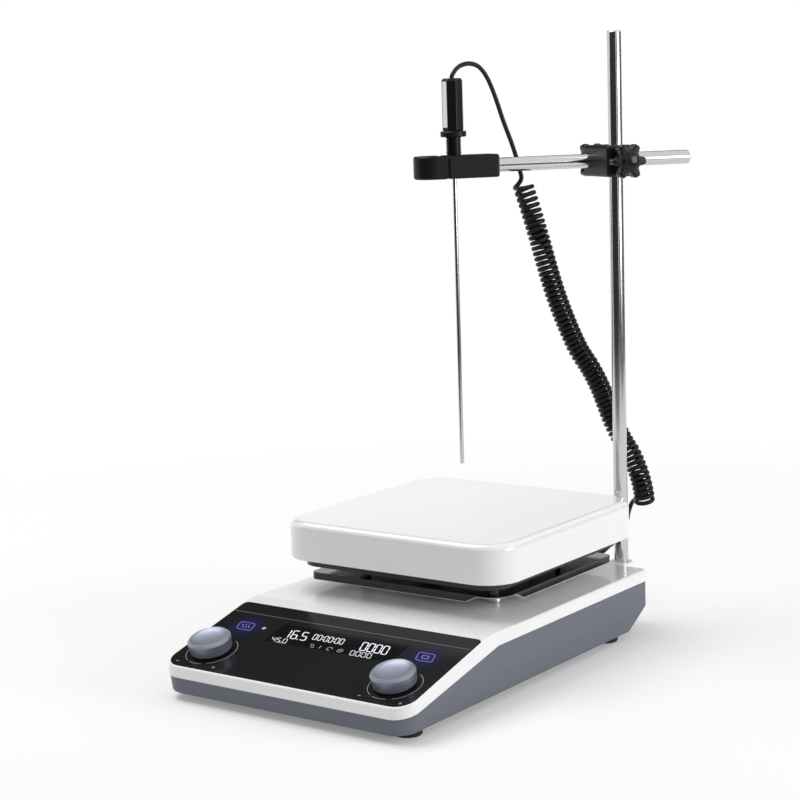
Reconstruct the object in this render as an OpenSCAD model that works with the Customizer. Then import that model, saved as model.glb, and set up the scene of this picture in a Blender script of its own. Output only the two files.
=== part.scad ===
// Heated magnetic stirrer with a square hotplate, two push-and-turn knobs and a rod stand
// that carries a temperature probe on a curly lead. Millimetres, +Z up, the controls face -Y.

/* [Base] */
// Width of the base
base_w = 198; // [190:1:230]
// Depth of the base
base_d = 294; // [280:1:330]
// Height of the feet below the base
foot_h = 5; // [3:0.5:8]
// Radius of a rubber foot
foot_r = 9; // [6:0.5:11]
// Distance of a foot's centre from the sides of the base
foot_inset = 15; // [12:1:24]
// Height of the flat deck above the bench
deck_z = 46.5; // [45:0.5:56]
// Height of the seam between the two shells along the rear
seam_rear_z = 35.5; // [32:0.5:38]
// Height of the seam at the front
seam_front_z = 15.5; // [13:0.5:18]
// Distance from the front face to where the seam turns level
seam_level_d = 101; // [80:1:120]
// Height of the top of the front lip
lip_z = 23; // [21:0.5:26]
// Slope of the control panel in degrees
panel_slope = 14.4; // [12:0.1:16]
// Radius of the bend between the panel and the deck
panel_bend_r = 60; // [20:1:80]
// Height of the crease around the lower shell
crease_z = 20; // [17:0.5:20]
// How far the rear face draws in below the crease
rear_undercut = 20; // [10:1:22]
// How far each side draws in below the crease
side_undercut = 2.5; // [1:0.5:4]
// Plan radius of the front corners
front_corner_r = 14; // [8:1:20]
// Plan radius of the rear corners
rear_corner_r = 4; // [3:0.5:8]
// Wall of the moulded shells
shell_wall = 2.5; // [2:0.1:3]
// Thickness of the floor of the lower shell
floor_t = 3; // [2.5:0.5:4]

/* [Control panel] */
// Thickness of the panel overlay
overlay_t = 1; // [0.8:0.1:1.4]
// How far the overlay stands proud of the cover
overlay_proud = 0.2; // [0.1:0.1:0.5]
// Width of the white rim around the overlay
overlay_margin = 1.5; // [1:0.5:5]
// Length of the overlay up the slope
overlay_len = 87; // [84:0.5:89]
// Distance of each knob from the side of the base
knob_inset = 24.7; // [24:0.1:30]
// Distance of the knobs up the slope
knob_v = 24.3; // [22:0.1:28]
// Largest radius of a knob
knob_r = 14.6; // [10:0.2:16]
// Height of a knob
knob_h = 9.5; // [8.5:0.5:14]
// Gap between a knob and the overlay
knob_gap = 1.2; // [1:0.1:2]
// Travel of a knob when it is pushed
push_travel = 0.6; // [0.3:0.1:0.7]
// Width of the display window
display_w = 102; // [80:1:110]
// Height of the display window
display_h = 23; // [16:1:24]
// Offset of the display from the middle
display_x = 4; // [-6:1:6]
// Distance of the display's centre up the slope
display_v = 57; // [54:0.5:58]
// Width of a touch key
key_w = 13.5; // [9:0.5:14]
// Height of a touch key
key_h = 10; // [8:0.5:11]
// Distance of each touch key from the side of the base
key_inset = 25.5; // [24:0.5:28]
// Distance of the touch keys up the slope
key_v = 60; // [56:0.5:62]
// Radius of the status lens
lens_r = 1.5; // [1:0.1:2]

/* [Hotplate] */
// Width and depth of the hotplate
plate_size = 184; // [180:1:190]
// Thickness of the hotplate at its rim
plate_h = 26.6; // [25.5:0.1:32]
// Gap between the deck and the underside of the hotplate
plate_gap = 23.9; // [23:0.1:30]
// How far the hotplate reaches past the rear of the base
plate_overhang = 4.5; // [0:0.5:5]
// Plan radius of the hotplate's corners
plate_corner_r = 24; // [20:1:30]
// Fillet around the hotplate's top edge
plate_fillet = 5; // [2:0.5:6]
// Wall of the hotplate's skirt
plate_skirt = 6.5; // [5:0.5:6.5]
// Thickness of the hotplate's face
plate_face_t = 8; // [6:0.5:8]
// Thickness of the heating element
heater_t = 4; // [3:0.5:5]
// Thickness of the insulation pad
insulation_t = 10; // [8:0.5:10]
// Gap between the hotplate's skirt and the pan inside it
pan_gap = 3.5; // [3:0.5:6]
// Sheet thickness of the pan and the heat shield
sheet_t = 1.2; // [0.8:0.1:1.5]
// Distance of the posts from the sides of the hotplate
post_side = 38; // [36:1:40]
// Distance of the posts from the front and rear of the hotplate
post_end = 50; // [48:1:52]
// Distance of the heat shield from the sides of the hotplate
shield_side = 13; // [11:1:16]
// Distance of the heat shield from the front and rear of the hotplate
shield_end = 20; // [18:1:22]
// Height of the heat shield above the deck
shield_gap = 10; // [9:0.5:11]
// Depth of the heat shield's turned-down rim
shield_rim = 4.2; // [3:0.2:6]

/* [Stirrer] */
// Radius of the motor
motor_r = 28; // [22:1:30]
// Height of the motor
motor_h = 25; // [20:1:27]
// Radius of the motor shaft
shaft_r = 3; // [2.5:0.5:4]
// Length of the magnet yoke
yoke_len = 76; // [60:1:80]
// Radius of a drive magnet
magnet_r = 8; // [6:0.5:8]
// Height of a drive magnet
magnet_h = 6; // [5:0.5:7]

/* [Stand] */
// Radius of the support rod and the cross rod
rod_r = 5; // [4:0.5:6]
// Length of the support rod
rod_len = 400; // [380:5:450]
// Distance of the support rod from the right side of the base
rod_inset = 28.5; // [26:0.5:32]
// Distance of the support rod behind the base
rod_back = 13; // [12:0.5:16]
// Direction of the arm, degrees anticlockwise from +X
arm_yaw = 236; // [232:1:240]
// Height of the arm above the bench
arm_z = 334; // [330:1:345]
// Width and height of the boss head
boss_w = 22; // [20:0.5:26]
// Distance between the two rods in the boss head
rod_spacing = 20; // [18:0.5:24]
// Distance from each rod to the near end of the boss head
boss_end = 10; // [9:0.5:14]
// Length of the cross rod
cross_len = 162; // [150:1:180]
// Length of the cross rod behind the support rod
cross_tail = 67.8; // [60:0.1:75]
// Radius over the lobes of a star knob
star_r = 12.6; // [10:0.2:15]
// Thickness of a star knob
star_t = 10; // [8:0.5:12]
// Gap between the boss head and a star knob
star_gap = 4.5; // [4:0.5:7]
// Radius of a hand screw's shank
screw_r = 3.8; // [3:0.1:4]

/* [Probe] */
// Distance of the probe from the support rod along the arm
probe_s = 114; // [112:0.5:118]
// Height of the probe clamp
clamp_h = 16; // [14:0.5:18]
// Width of the clamp's bar
clamp_w = 20; // [16:0.5:22]
// Depth of the cross rod in the clamp
clamp_seat = 10.7; // [10:0.1:14]
// Length of the clamp's round head
clamp_head = 20.8; // [18:0.2:24]
// Half width of the clamp's round head
clamp_head_r = 12.4; // [11:0.2:13]
// Radius of the probe's threaded stub
stub_r = 5.5; // [4:0.1:6]
// Length of the threaded stub above the clamp
stub_h = 12.5; // [10:0.5:16]
// Radius of the probe's collar
collar_r = 9; // [8.5:0.1:11]
// Height of the probe's collar
collar_h = 4; // [3:0.5:6]
// Radius over the corners of the probe's handle
handle_r = 7.7; // [6:0.1:8]
// Length of the probe's handle
handle_h = 36; // [30:1:45]
// Radius of the probe's sheath
sheath_r = 1.5; // [1:0.1:2.5]
// Height of the probe's tip above the hotplate
tip_gap = 28; // [26:1:60]

/* [Cord] */
// Radius of the probe's lead
cord_r = 1.5; // [1.3:0.05:1.5]
// Radius of a curl at the middle of the lead
curl_r = 6.2; // [5:0.1:6.4]
// Number of curls
curls = 66; // [40:1:67]

/* [Rear connections] */
// Width of the rear panel
rear_w = 118; // [116:1:122]
// Height of the rear panel
rear_h = 22; // [21.5:0.1:22]
// Distance of the rear panel from the left side of the base
rear_inset = 9; // [7:1:12]
// Clear width of the mains inlet's recess
inlet_w = 24.4; // [23:0.1:25]
// Clear height of the mains inlet's recess
inlet_h = 16.4; // [15:0.1:16.6]
// Depth of the mains inlet's recess
inlet_d = 17; // [14:0.5:19]
// Radius of the probe socket's bore
socket_r = 5.2; // [4:0.1:6]

/* [Hidden] */
$fn = 48;

// The origin lies on the bench, this far behind the middle of the base
origin_back = 41.3;
// Small overlap that keeps cuts clean
eps = 0.1;
// Clearance around a fixed piece in its opening
fit_gap = 0.2;
// Radial clearance of a shaft that turns or slides in its bore
run_gap = 0.05;

half_w = base_w / 2;
front_y = -base_d / 2 - origin_back;
rear_y = base_d / 2 - origin_back;
seam_y = front_y + seam_level_d;
floor_z = foot_h + floor_t;
panel_rise = tan(panel_slope);
tray_half_w = half_w - shell_wall - side_undercut;

// Case screws that pull the two shells together
case_boss_r = 4.5;
case_screw_r = 1.5;
case_head_r = 3;
case_head_h = 2.5;
case_x = tray_half_w - case_boss_r - 0.5;
case_front_d = 50;
case_rear_d = 60;
case_front_y = front_y + case_front_d;
case_rear_y = rear_y - case_rear_d;
case_front_z = floor_z + 8;
case_rear_z = floor_z + 16;
case_grip = 8;

// Panel stack, measured along the panel's normal from the cover's surface
pocket_d = overlay_t - overlay_proud;
board_gap = 8;
board_t = 1.6;
board_top_w = -shell_wall - board_gap;
board_side = 16;
board_w = base_w - 2 * board_side;
board_post_side = 20;
board_post_end = 5;
board_front_v = 9;
board_len = 68;
board_post_r = 3;
encoder_w = 12;
bushing_r = 3.6;
encoder_shaft_r = 3;
plunger_r = 4;
plunger_t = 2;
encoder_floor = 0.8;
plunger_top_w = board_top_w + encoder_floor + push_travel + fit_gap + plunger_t;
knob_foot_w = overlay_proud + knob_gap;
knob_bore_h = 6;
knob_x = half_w - knob_inset;
key_x = half_w - key_inset;
lens_x = key_x - 15;

// Hotplate stack, upwards from the deck
plate_y = rear_y + plate_overhang - plate_size / 2;
pan_size = plate_size - 2 * (plate_skirt + pan_gap);
post_x = plate_size / 2 - post_side;
post_y = plate_size / 2 - post_end;
shield_w = plate_size - 2 * shield_side;
shield_d = plate_size - 2 * shield_end;
plate_bot_z = deck_z + plate_gap;
plate_top_z = plate_bot_z + plate_h;
plate_under_z = plate_top_z - plate_face_t;
heater_z = plate_under_z - heater_t;
insulation_z = heater_z - insulation_t;
pan_drop = 5.9;
pan_z = plate_bot_z - pan_drop;
pan_corner_r = plate_corner_r - plate_skirt - 2;
shield_z = deck_z + shield_gap;
shield_near_r = 16;
shield_far_r = 4;
shield_hole_r = yoke_len / 2 + 7;
shield_relief = 19;
post_r = 5;
post_neck_r = 4;
stud_r = 2.5;
stud_up = 12;
stud_down = 6;
plate_boss_r = 6;

// Motor stack
bracket_t = 2;
bracket_z = deck_z - shell_wall - 6;
bracket_w = 90;
bracket_d = 58;
bracket_inset = 7;
bracket_boss_r = 5;
bracket_screw_r = 1.5;
yoke_t = 4;
yoke_w = 18;
magnet_gap = 2.5;
magnet_z = pan_z - magnet_gap - magnet_h;
yoke_z = magnet_z - yoke_t;
deck_hole_r = 12;

// Rear connections, all on one line
rear_x = rear_inset + rear_w / 2 - half_w;
rear_mid_z = crease_z + 1.5 + rear_h / 2;
inlet_side = 22;
switch_step = 32;
fuse_step = 25;
socket_step = 27;
inlet_x = rear_x - rear_w / 2 + inlet_side;
switch_x = inlet_x + switch_step;
fuse_x = switch_x + fuse_step;
socket_x = fuse_x + socket_step;
rear_flange = 2;
rear_flange_t = 1.5;
inlet_wall = 1.3;
inlet_flange = 2;
inlet_flange_t = 2;
inlet_floor = 4;
switch_w = 13;
switch_h = 19;
switch_rim = 1;
switch_depth = 14;
switch_wall = 1.2;
rocker_gap = 0.4;
rocker_pin_r = 1.5;
fuse_r = 6.5;
fuse_cap_r = 5.6;
socket_wall = 2;
socket_rim_r = 9;
socket_depth = 12;
socket_proud = 3;

// Power board on its pillars, between the motor and the mains inlet
power_w = 100;
power_x = -30;
power_front_gap = 6;
power_rear_gap = 0.5;
power_front_y = plate_y + motor_r + power_front_gap;
power_rear_y = rear_y - inlet_d - inlet_floor - power_rear_gap;
power_d = power_rear_y - power_front_y;
power_y = (power_front_y + power_rear_y) / 2;
power_lift = 6;
power_pillar_r = 3;

// Stand
rod_x = half_w - rod_inset;
rod_y = rear_y + rod_back;
rod_foot_z = crease_z + 4;
bracket_lug_r = rod_r + 3;
bracket_plate_t = 4;
bracket_plate_w = 36;
bracket_bottom_z = crease_z + 2;
bracket_top_z = deck_z - 1.5;
bracket_lug_z = deck_z - 0.4;
bracket_bolt_x = 13;
bracket_bolt_z = crease_z + 9;
bracket_bolt_r = 2;
bracket_bolt_head_r = 3.5;
bracket_bolt_head_h = 2.5;
rod_chamfer = 1;
pad_t = 2;
pad_r = screw_r - 0.3;
pad_gap = 0.3;
screw_hole_r = screw_r + run_gap;
star_lobes = 6;
star_lobe_r = 3.4;
star_core_r = 8.6;

// Probe, heights counted from the arm
clamp_end_s = cross_len - cross_tail - clamp_seat;
head_s = probe_s + 8.5;
stub_sink = clamp_h / 2 - 2;
stub_top = clamp_h / 2 + stub_h;
handle_z = stub_top + collar_h;
handle_top = handle_z + handle_h;
handle_sides = 8;
handle_turn = -2.9;
recess_r = 7.6;
recess_d = 3;
tip_z = plate_top_z + tip_gap;
clamp_screw_r = 2;

// Places of the two knobs
temp_x = -knob_x;
speed_x = knob_x;

// Local frame of the sloped panel: x across, y up the slope, z along its normal
module on_panel() translate([0, front_y, lip_z]) rotate([panel_slope, 0, 0]) children();

// Local frame of the arm: x towards the probe, y to the front right, z up, on the support rod
module on_arm() translate([rod_x, rod_y, arm_z]) rotate([0, 0, arm_yaw]) children();

// Local frame of the cross rod, on its axis beside the support rod
module on_cross() on_arm() translate([0, -rod_spacing, 0]) children();

// Prism with its outline in the side view, as wide as w
module side_prism(points, w) rotate([90, 0, 90]) linear_extrude(w, center = true) polygon(points);

// Block with round vertical corners, its front edge on y = 0 and its foot on z = 0
module rounded_block(w, d, h, r_front, r_rear) {
    for (side = [-1, 1]) {
        translate([side * (w / 2 - r_front), r_front, 0]) cylinder(r = r_front, h = h);
        translate([side * (w / 2 - r_rear), d - r_rear, 0]) cylinder(r = r_rear, h = h);
    }
    translate([-w / 2 + r_front, 0, 0]) cube([w - 2 * r_front, d / 2, h]);
    translate([-w / 2 + r_rear, d / 2, 0]) cube([w - 2 * r_rear, d / 2, h]);
    translate([-w / 2, r_front, 0]) cube([w, d - r_front - r_rear, h]);
}

// Square block with round corners, centred on the stirring axis
module plate_block(w, d, h, r) translate([0, plate_y - d / 2, 0]) rounded_block(w, d, h, r, r);

// Four places in a rectangle around the stirring axis
module plate_corners(x, y) for (i = [-1, 1], j = [-1, 1]) translate([i * x, plate_y + j * y, 0]) children();

// Four places of the case screws
module case_places(front = true, rear = true) for (side = [-1, 1]) {
    if (front) translate([side * case_x, case_front_y, 0]) children();
    if (rear) translate([side * case_x, case_rear_y, 0]) children();
}

// Cylinder along +Y from a point on the rear face
module rear_round(x, z, r, from, to) translate([x, rear_y + from, z]) rotate([-90, 0, 0])
    cylinder(r = r, h = to - from);

// Block along +Y from the rear face, centred across and in height
module rear_block(x, z, w, h, from, to) translate([x - w / 2, rear_y + from, z - h / 2])
    cube([w, to - from, h]);

// Height of the panel's surface, sunk by a depth, at a distance behind the front face
function panel_z(back, sink) = lip_z - sink / cos(panel_slope) + back * panel_rise;

// Outline of the cover in the side view, drawn in by a wall, down to a seam sunk by a drop
function bend_y(wall) = front_y + (deck_z - wall - panel_z(0, wall)) / panel_rise;
function bend_arc(wall) = let (r = panel_bend_r - wall, run = r * tan(panel_slope / 2), steps = 6)
    [for (i = [0:steps]) let (a = 90 + panel_slope * (1 - i / steps))
        [bend_y(wall) + run + r * cos(a), deck_z - wall - r + r * sin(a)]];
function cover_outline(wall, drop) = concat(
    [[front_y + wall, seam_front_z - drop], [front_y + wall, panel_z(wall, wall)]],
    bend_arc(wall),
    [[rear_y - wall, deck_z - wall], [rear_y - wall, seam_rear_z - drop], [seam_y, seam_rear_z - drop]]);

// Slope of the rear face below the crease, and the same face drawn in by the wall
rear_lean = rear_undercut / (crease_z - foot_h);
rear_shift = shell_wall * sqrt(1 + rear_lean * rear_lean);
rear_inner_y = rear_y - rear_undercut + rear_lean * floor_t - rear_shift;
rear_inner_z = foot_h + (rear_undercut + rear_shift - shell_wall) / rear_lean;

// Lower shell with its floor, pillars and screw bosses
module base_tray() color("slategray") difference() {
    union() {
        difference() {
            intersection() {
                side_prism([[front_y, foot_h], [rear_y - rear_undercut, foot_h], [rear_y, crease_z],
                    [rear_y, seam_rear_z], [seam_y, seam_rear_z], [front_y, seam_front_z]], base_w);
                translate([0, rear_y, 0]) rotate([90, 0, 0]) linear_extrude(base_d)
                    polygon([[side_undercut - half_w, foot_h], [half_w - side_undercut, foot_h],
                        [half_w, crease_z], [half_w, seam_rear_z], [-half_w, seam_rear_z],
                        [-half_w, crease_z]]);
                translate([0, front_y, foot_h])
                    rounded_block(base_w, base_d, seam_rear_z - foot_h, front_corner_r, rear_corner_r);
            }
            intersection() {
                side_prism([[front_y + shell_wall, floor_z], [rear_inner_y, floor_z],
                    [rear_y - shell_wall, rear_inner_z], [rear_y - shell_wall, deck_z],
                    [front_y + shell_wall, deck_z]], base_w);
                translate([0, front_y + shell_wall, floor_z])
                    rounded_block(2 * tray_half_w, base_d - 2 * shell_wall, deck_z - floor_z,
                        front_corner_r - shell_wall, rear_corner_r - shell_wall / 2);
            }
        }
        case_places(rear = false) translate([0, 0, floor_z]) cylinder(r = case_boss_r, h = case_front_z - floor_z);
        case_places(front = false) translate([0, 0, floor_z]) cylinder(r = case_boss_r, h = case_rear_z - floor_z);
        plate_corners(bracket_w / 2 - bracket_inset, bracket_d / 2 - bracket_inset) translate([0, 0, floor_z])
            cylinder(r = bracket_boss_r, h = bracket_z - floor_z);
        power_pillars() translate([0, 0, floor_z]) cylinder(r = power_pillar_r, h = power_lift);
    }
    case_places() {
        translate([0, 0, foot_h - eps]) cylinder(r = case_head_r + fit_gap, h = case_head_h + eps);
        translate([0, 0, foot_h]) cylinder(r = case_screw_r + fit_gap, h = case_rear_z);
    }
    plate_corners(bracket_w / 2 - bracket_inset, bracket_d / 2 - bracket_inset)
        translate([0, 0, bracket_z - case_grip - fit_gap]) cylinder(r = bracket_screw_r + run_gap, h = case_grip + 1);
    rear_block(rear_x, rear_mid_z, rear_w, rear_h, -shell_wall - eps, eps);
    for (side = [-1, 1])
        rear_round(rod_x + side * bracket_bolt_x, bracket_bolt_z, bracket_bolt_r + fit_gap, -shell_wall - eps, eps);
}

// Upper shell with the deck, the sloped panel and the pocket for the overlay
module top_cover() color("white") difference() {
    union() {
        difference() {
            intersection() {
                side_prism(cover_outline(0, 0), base_w);
                translate([0, front_y, 0]) rounded_block(base_w, base_d, deck_z, front_corner_r, rear_corner_r);
            }
            intersection() {
                side_prism(cover_outline(shell_wall, seam_front_z), base_w);
                translate([0, front_y + shell_wall, 0]) rounded_block(base_w - 2 * shell_wall,
                    base_d - 2 * shell_wall, deck_z, front_corner_r - shell_wall, rear_corner_r - shell_wall / 2);
            }
        }
        intersection() {
            union() {
                case_places(rear = false) translate([0, 0, case_front_z]) cylinder(r = case_boss_r, h = deck_z);
                case_places(front = false) translate([0, 0, case_rear_z]) cylinder(r = case_boss_r, h = deck_z);
            }
            side_prism(cover_outline(shell_wall / 2, seam_front_z), base_w);
        }
    }
    on_panel() {
        translate([0, overlay_margin - fit_gap, -pocket_d]) rounded_block(base_w - 2 * overlay_margin + 2 * fit_gap,
            overlay_len + 2 * fit_gap, overlay_t + 5, front_corner_r - overlay_margin, rear_corner_r);
        translate([display_x - display_w / 2, display_v - display_h / 2, -shell_wall - eps])
            cube([display_w, display_h, shell_wall + 1]);
        for (side = [-1, 1]) {
            translate([side * knob_x, knob_v, -shell_wall - eps]) cylinder(r = bushing_r + fit_gap, h = shell_wall + 1);
            translate([side * key_x - key_w / 2, key_v - key_h / 2, -shell_wall - eps]) cube([key_w, key_h, shell_wall + 1]);
        }
        translate([-lens_x, key_v, -shell_wall - eps]) cylinder(r = lens_r + fit_gap, h = shell_wall + 1);
    }
    case_places(rear = false) translate([0, 0, case_front_z - eps]) cylinder(r = case_screw_r + run_gap, h = case_grip + fit_gap);
    case_places(front = false) translate([0, 0, case_rear_z - eps]) cylinder(r = case_screw_r + run_gap, h = case_grip + fit_gap);
    plate_corners(post_x, post_y) translate([0, 0, deck_z - shell_wall - eps])
        cylinder(r = stud_r + fit_gap, h = shell_wall + 1);
    translate([0, plate_y, deck_z - shell_wall - eps]) cylinder(r = deck_hole_r, h = shell_wall + 1);
    rear_block(rear_x, rear_mid_z, rear_w, rear_h, -shell_wall - eps, eps);
}

// Four rubber feet under the corners
foot_front_back = 7;
module rubber_feet() color("black") for (side = [-1, 1], y = [front_y + foot_inset + foot_front_back,
        rear_y - rear_undercut - foot_inset]) translate([side * (half_w - foot_inset), y, 0]) {
    cylinder(r1 = foot_r - 1, r2 = foot_r, h = 1);
    translate([0, 0, 1]) cylinder(r = foot_r, h = foot_h - 1);
}

// Screws from below, through the lower shell into the bosses of the cover
module case_screw(top_z) {
    translate([0, 0, foot_h]) cylinder(r = case_head_r, h = case_head_h);
    translate([0, 0, foot_h]) cylinder(r = case_screw_r, h = top_z + case_grip - foot_h - 1);
}
module case_screws() color("silver") {
    case_places(rear = false) case_screw(case_front_z);
    case_places(front = false) case_screw(case_rear_z);
}

// Rear panel, held between the shells by a flange at each end
module rear_panel() color("dimgray") difference() {
    union() {
        rear_block(rear_x, rear_mid_z, rear_w - 2 * fit_gap, rear_h - 2 * fit_gap, -shell_wall, 0);
        rear_block(rear_x, rear_mid_z, rear_w + 2 * rear_flange, rear_h - 2 * fit_gap,
            -shell_wall - rear_flange_t, -shell_wall);
    }
    rear_block(inlet_x, rear_mid_z, inlet_w + 2 * inlet_wall + fit_gap, inlet_h + 2 * inlet_wall + fit_gap, -6, 1);
    rear_block(switch_x, rear_mid_z, switch_w + fit_gap, switch_h + fit_gap, -6, 1);
    rear_round(fuse_x, rear_mid_z, fuse_r + fit_gap, -6, 1);
    rear_round(socket_x, rear_mid_z, socket_r + socket_wall + fit_gap, -6, 1);
}

// Mains inlet with its open recess
module mains_inlet() color("black") difference() {
    union() {
        rear_block(inlet_x, rear_mid_z, inlet_w + 2 * inlet_wall, inlet_h + 2 * inlet_wall,
            -inlet_d - inlet_floor, inlet_flange_t);
        rear_block(inlet_x, rear_mid_z, inlet_w + 2 * inlet_wall + 2 * inlet_flange,
            inlet_h + 2 * inlet_wall + inlet_flange, 0, inlet_flange_t);
    }
    rear_block(inlet_x, rear_mid_z, inlet_w, inlet_h, inlet_flange_t - inlet_d, inlet_flange_t + eps);
}

// Three contact blades in the mains inlet
blade_w = 2;
blade_h = 4;
blade_len = 14;
blade_step = 7;
blade_drop = 2;
module inlet_pins() color("silver") for (i = [-1, 0, 1])
    rear_block(inlet_x + i * blade_step, rear_mid_z + (i == 0 ? blade_drop : -blade_drop), blade_w, blade_h,
        inlet_flange_t - inlet_d, inlet_flange_t - inlet_d + blade_len);

// Frame of the mains switch
rocker_w = switch_w - 2 * switch_wall - 2 * rocker_gap;
rocker_h = switch_h - 2 * switch_wall - 2 * rocker_gap;
module switch_frame() color("black") difference() {
    union() {
        rear_block(switch_x, rear_mid_z, switch_w, switch_h, -switch_depth, switch_rim);
        rear_block(switch_x, rear_mid_z, switch_w + 2, switch_h + 2, 0, switch_rim);
    }
    rear_block(switch_x, rear_mid_z, switch_w - 2 * switch_wall, switch_h - 2 * switch_wall, -switch_depth + 2, 2);
    translate([switch_x - switch_w / 2 + 0.4, rear_y - rocker_pin_back, rear_mid_z]) rotate([0, 90, 0])
        cylinder(r = rocker_pin_r + run_gap, h = switch_w - 0.8);
}

// Rocker of the mains switch, on its pivot pin
rocker_pin_back = 5;
rocker_tilt = 9;
rocker_tip = 3;
rocker_draft = 0.4;
module power_rocker() color("black") translate([switch_x, rear_y - rocker_pin_back, rear_mid_z]) {
    rotate([0, 90, 0]) cylinder(r = rocker_pin_r, h = switch_w - 1.2, center = true);
    rotate([-rocker_tilt, 0, 0]) rotate([90, 0, 90]) linear_extrude(rocker_w, center = true)
        polygon([[-2, -3], [rocker_pin_back - 2, rocker_draft - rocker_h / 2],
            [rocker_pin_back + rocker_tip, 3 * rocker_draft - rocker_h / 2], [rocker_pin_back + 1, 0],
            [rocker_pin_back + rocker_tip, rocker_h / 2 - 3 * rocker_draft],
            [rocker_pin_back - 2, rocker_h / 2 - rocker_draft], [-2, 3]]);
}

// Fuse holder and its quarter-turn cap
fuse_len = 24;
fuse_rim = 1.5;
fuse_cap_in = 6;
fuse_cap_out = 4.5;
module fuse_holder() color("black") difference() {
    union() {
        rear_round(fuse_x, rear_mid_z, fuse_r, -fuse_len, fuse_rim);
        rear_round(fuse_x, rear_mid_z, fuse_r + 1.5, 0, fuse_rim);
    }
    rear_round(fuse_x, rear_mid_z, fuse_cap_r - 1 + run_gap, -fuse_cap_in - fit_gap, fuse_rim + eps);
}
module fuse_cap() color("black") difference() {
    union() {
        rear_round(fuse_x, rear_mid_z, fuse_cap_r - 1, -fuse_cap_in, fuse_rim + eps);
        rear_round(fuse_x, rear_mid_z, fuse_cap_r, fuse_rim, fuse_rim + fuse_cap_out);
    }
    rear_block(fuse_x, rear_mid_z, 2 * fuse_cap_r - 3, 1.4, fuse_rim + fuse_cap_out - 2, fuse_rim + fuse_cap_out + eps);
}

// Round socket for the probe's plug
module probe_socket() color("silver") difference() {
    union() {
        rear_round(socket_x, rear_mid_z, socket_r + socket_wall, -socket_depth, socket_proud);
        rear_round(socket_x, rear_mid_z, socket_rim_r, 0, socket_proud - 1);
    }
    rear_round(socket_x, rear_mid_z, socket_r, -socket_depth + 3, socket_proud + eps);
}

// Black overlay with windows for the display, the keys and the bushings
module panel_overlay() color([0.07, 0.07, 0.08]) on_panel() difference() {
    translate([0, overlay_margin, -pocket_d]) rounded_block(base_w - 2 * overlay_margin, overlay_len, overlay_t,
        front_corner_r - overlay_margin, rear_corner_r);
    translate([display_x - display_w / 2, display_v - display_h / 2, -pocket_d - eps]) cube([display_w, display_h, overlay_t + 1]);
    for (side = [-1, 1]) {
        translate([side * knob_x, knob_v, -pocket_d - eps]) cylinder(r = bushing_r + fit_gap, h = overlay_t + 1);
        translate([side * key_x - key_w / 2, key_v - key_h / 2, -pocket_d - eps]) cube([key_w, key_h, overlay_t + 1]);
    }
    translate([-lens_x, key_v, -pocket_d - eps]) cylinder(r = lens_r + fit_gap, h = overlay_t + 1);
}

// Display glass and its carrier, standing on the control board
module display_module() color([0.02, 0.02, 0.03]) on_panel()
    translate([display_x - display_w / 2 + fit_gap, display_v - display_h / 2 + fit_gap, board_top_w])
        cube([display_w - 2 * fit_gap, display_h - 2 * fit_gap, overlay_proud - board_top_w]);

// Light guides of the two touch keys, standing on the control board
module key_light_guides() color([0.25, 0.3, 0.9]) on_panel() for (side = [-1, 1])
    translate([side * key_x - key_w / 2 + fit_gap, key_v - key_h / 2 + fit_gap, board_top_w])
        cube([key_w - 2 * fit_gap, key_h - 2 * fit_gap, overlay_proud - board_top_w]);

// Lens of the status light
module status_lens() color("white") on_panel() translate([-lens_x, key_v, board_top_w])
    cylinder(r = lens_r, h = overlay_proud - board_top_w);

// Control board under the sloped panel, and the posts that hang it from the cover
module control_board() color("darkgreen") on_panel()
    translate([-board_w / 2, board_front_v, board_top_w - board_t]) cube([board_w, board_len, board_t]);
module board_posts() color("silver") on_panel() for (x = [-1, 1] * (board_w / 2 - board_post_side),
        v = [board_post_end, board_len - board_post_end])
    translate([x, board_front_v + v, board_top_w]) cylinder(r = board_post_r, h = board_gap);

// Push-and-turn encoder: body and bushing, the plunger inside it, and the shaft
module encoder(x) color("gray") on_panel() translate([x, knob_v, 0]) difference() {
    union() {
        translate([-encoder_w / 2, -encoder_w / 2, board_top_w]) cube([encoder_w, encoder_w, board_gap]);
        translate([0, 0, -shell_wall]) cylinder(r = bushing_r, h = shell_wall + overlay_proud);
    }
    translate([0, 0, board_top_w + encoder_floor]) cylinder(r = plunger_r + run_gap,
        h = plunger_top_w - board_top_w - encoder_floor + fit_gap);
    translate([0, 0, board_top_w + encoder_floor]) cylinder(r = encoder_shaft_r + run_gap,
        h = board_gap + shell_wall + overlay_t + knob_foot_w);
}
module temp_encoder() encoder(temp_x);
module speed_encoder() encoder(speed_x);
module plunger(x) color("ivory") on_panel() translate([x, knob_v, plunger_top_w - plunger_t])
    cylinder(r = plunger_r, h = plunger_t);
module temp_plunger() plunger(temp_x);
module speed_plunger() plunger(speed_x);
module encoder_shaft(x) color("silver") on_panel() translate([x, knob_v, plunger_top_w])
    cylinder(r = encoder_shaft_r, h = knob_foot_w + knob_bore_h - plunger_top_w);
module temp_shaft() encoder_shaft(temp_x);
module speed_shaft() encoder_shaft(speed_x);

// Knob with a dished top and a bevelled rim
knob_foot_taper = 0.8;
knob_bevel = 2.6;
knob_dish = 1.3;
module knob(x) color("dimgray") on_panel() translate([x, knob_v, knob_foot_w]) difference() {
    rotate_extrude() polygon([[0, 0], [knob_r - knob_foot_taper, 0], [knob_r, knob_h - knob_bevel - 0.6],
        [knob_r - 0.5, knob_h - 0.7], [knob_r - 1.2, knob_h], [knob_r - knob_bevel, knob_h - 0.3],
        [knob_r * 0.45, knob_h - knob_dish], [0, knob_h - knob_dish - 0.2]]);
    translate([0, 0, -eps]) cylinder(r = encoder_shaft_r + run_gap, h = knob_bore_h + eps);
}
module temp_knob() knob(temp_x);
module speed_knob() knob(speed_x);

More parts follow.
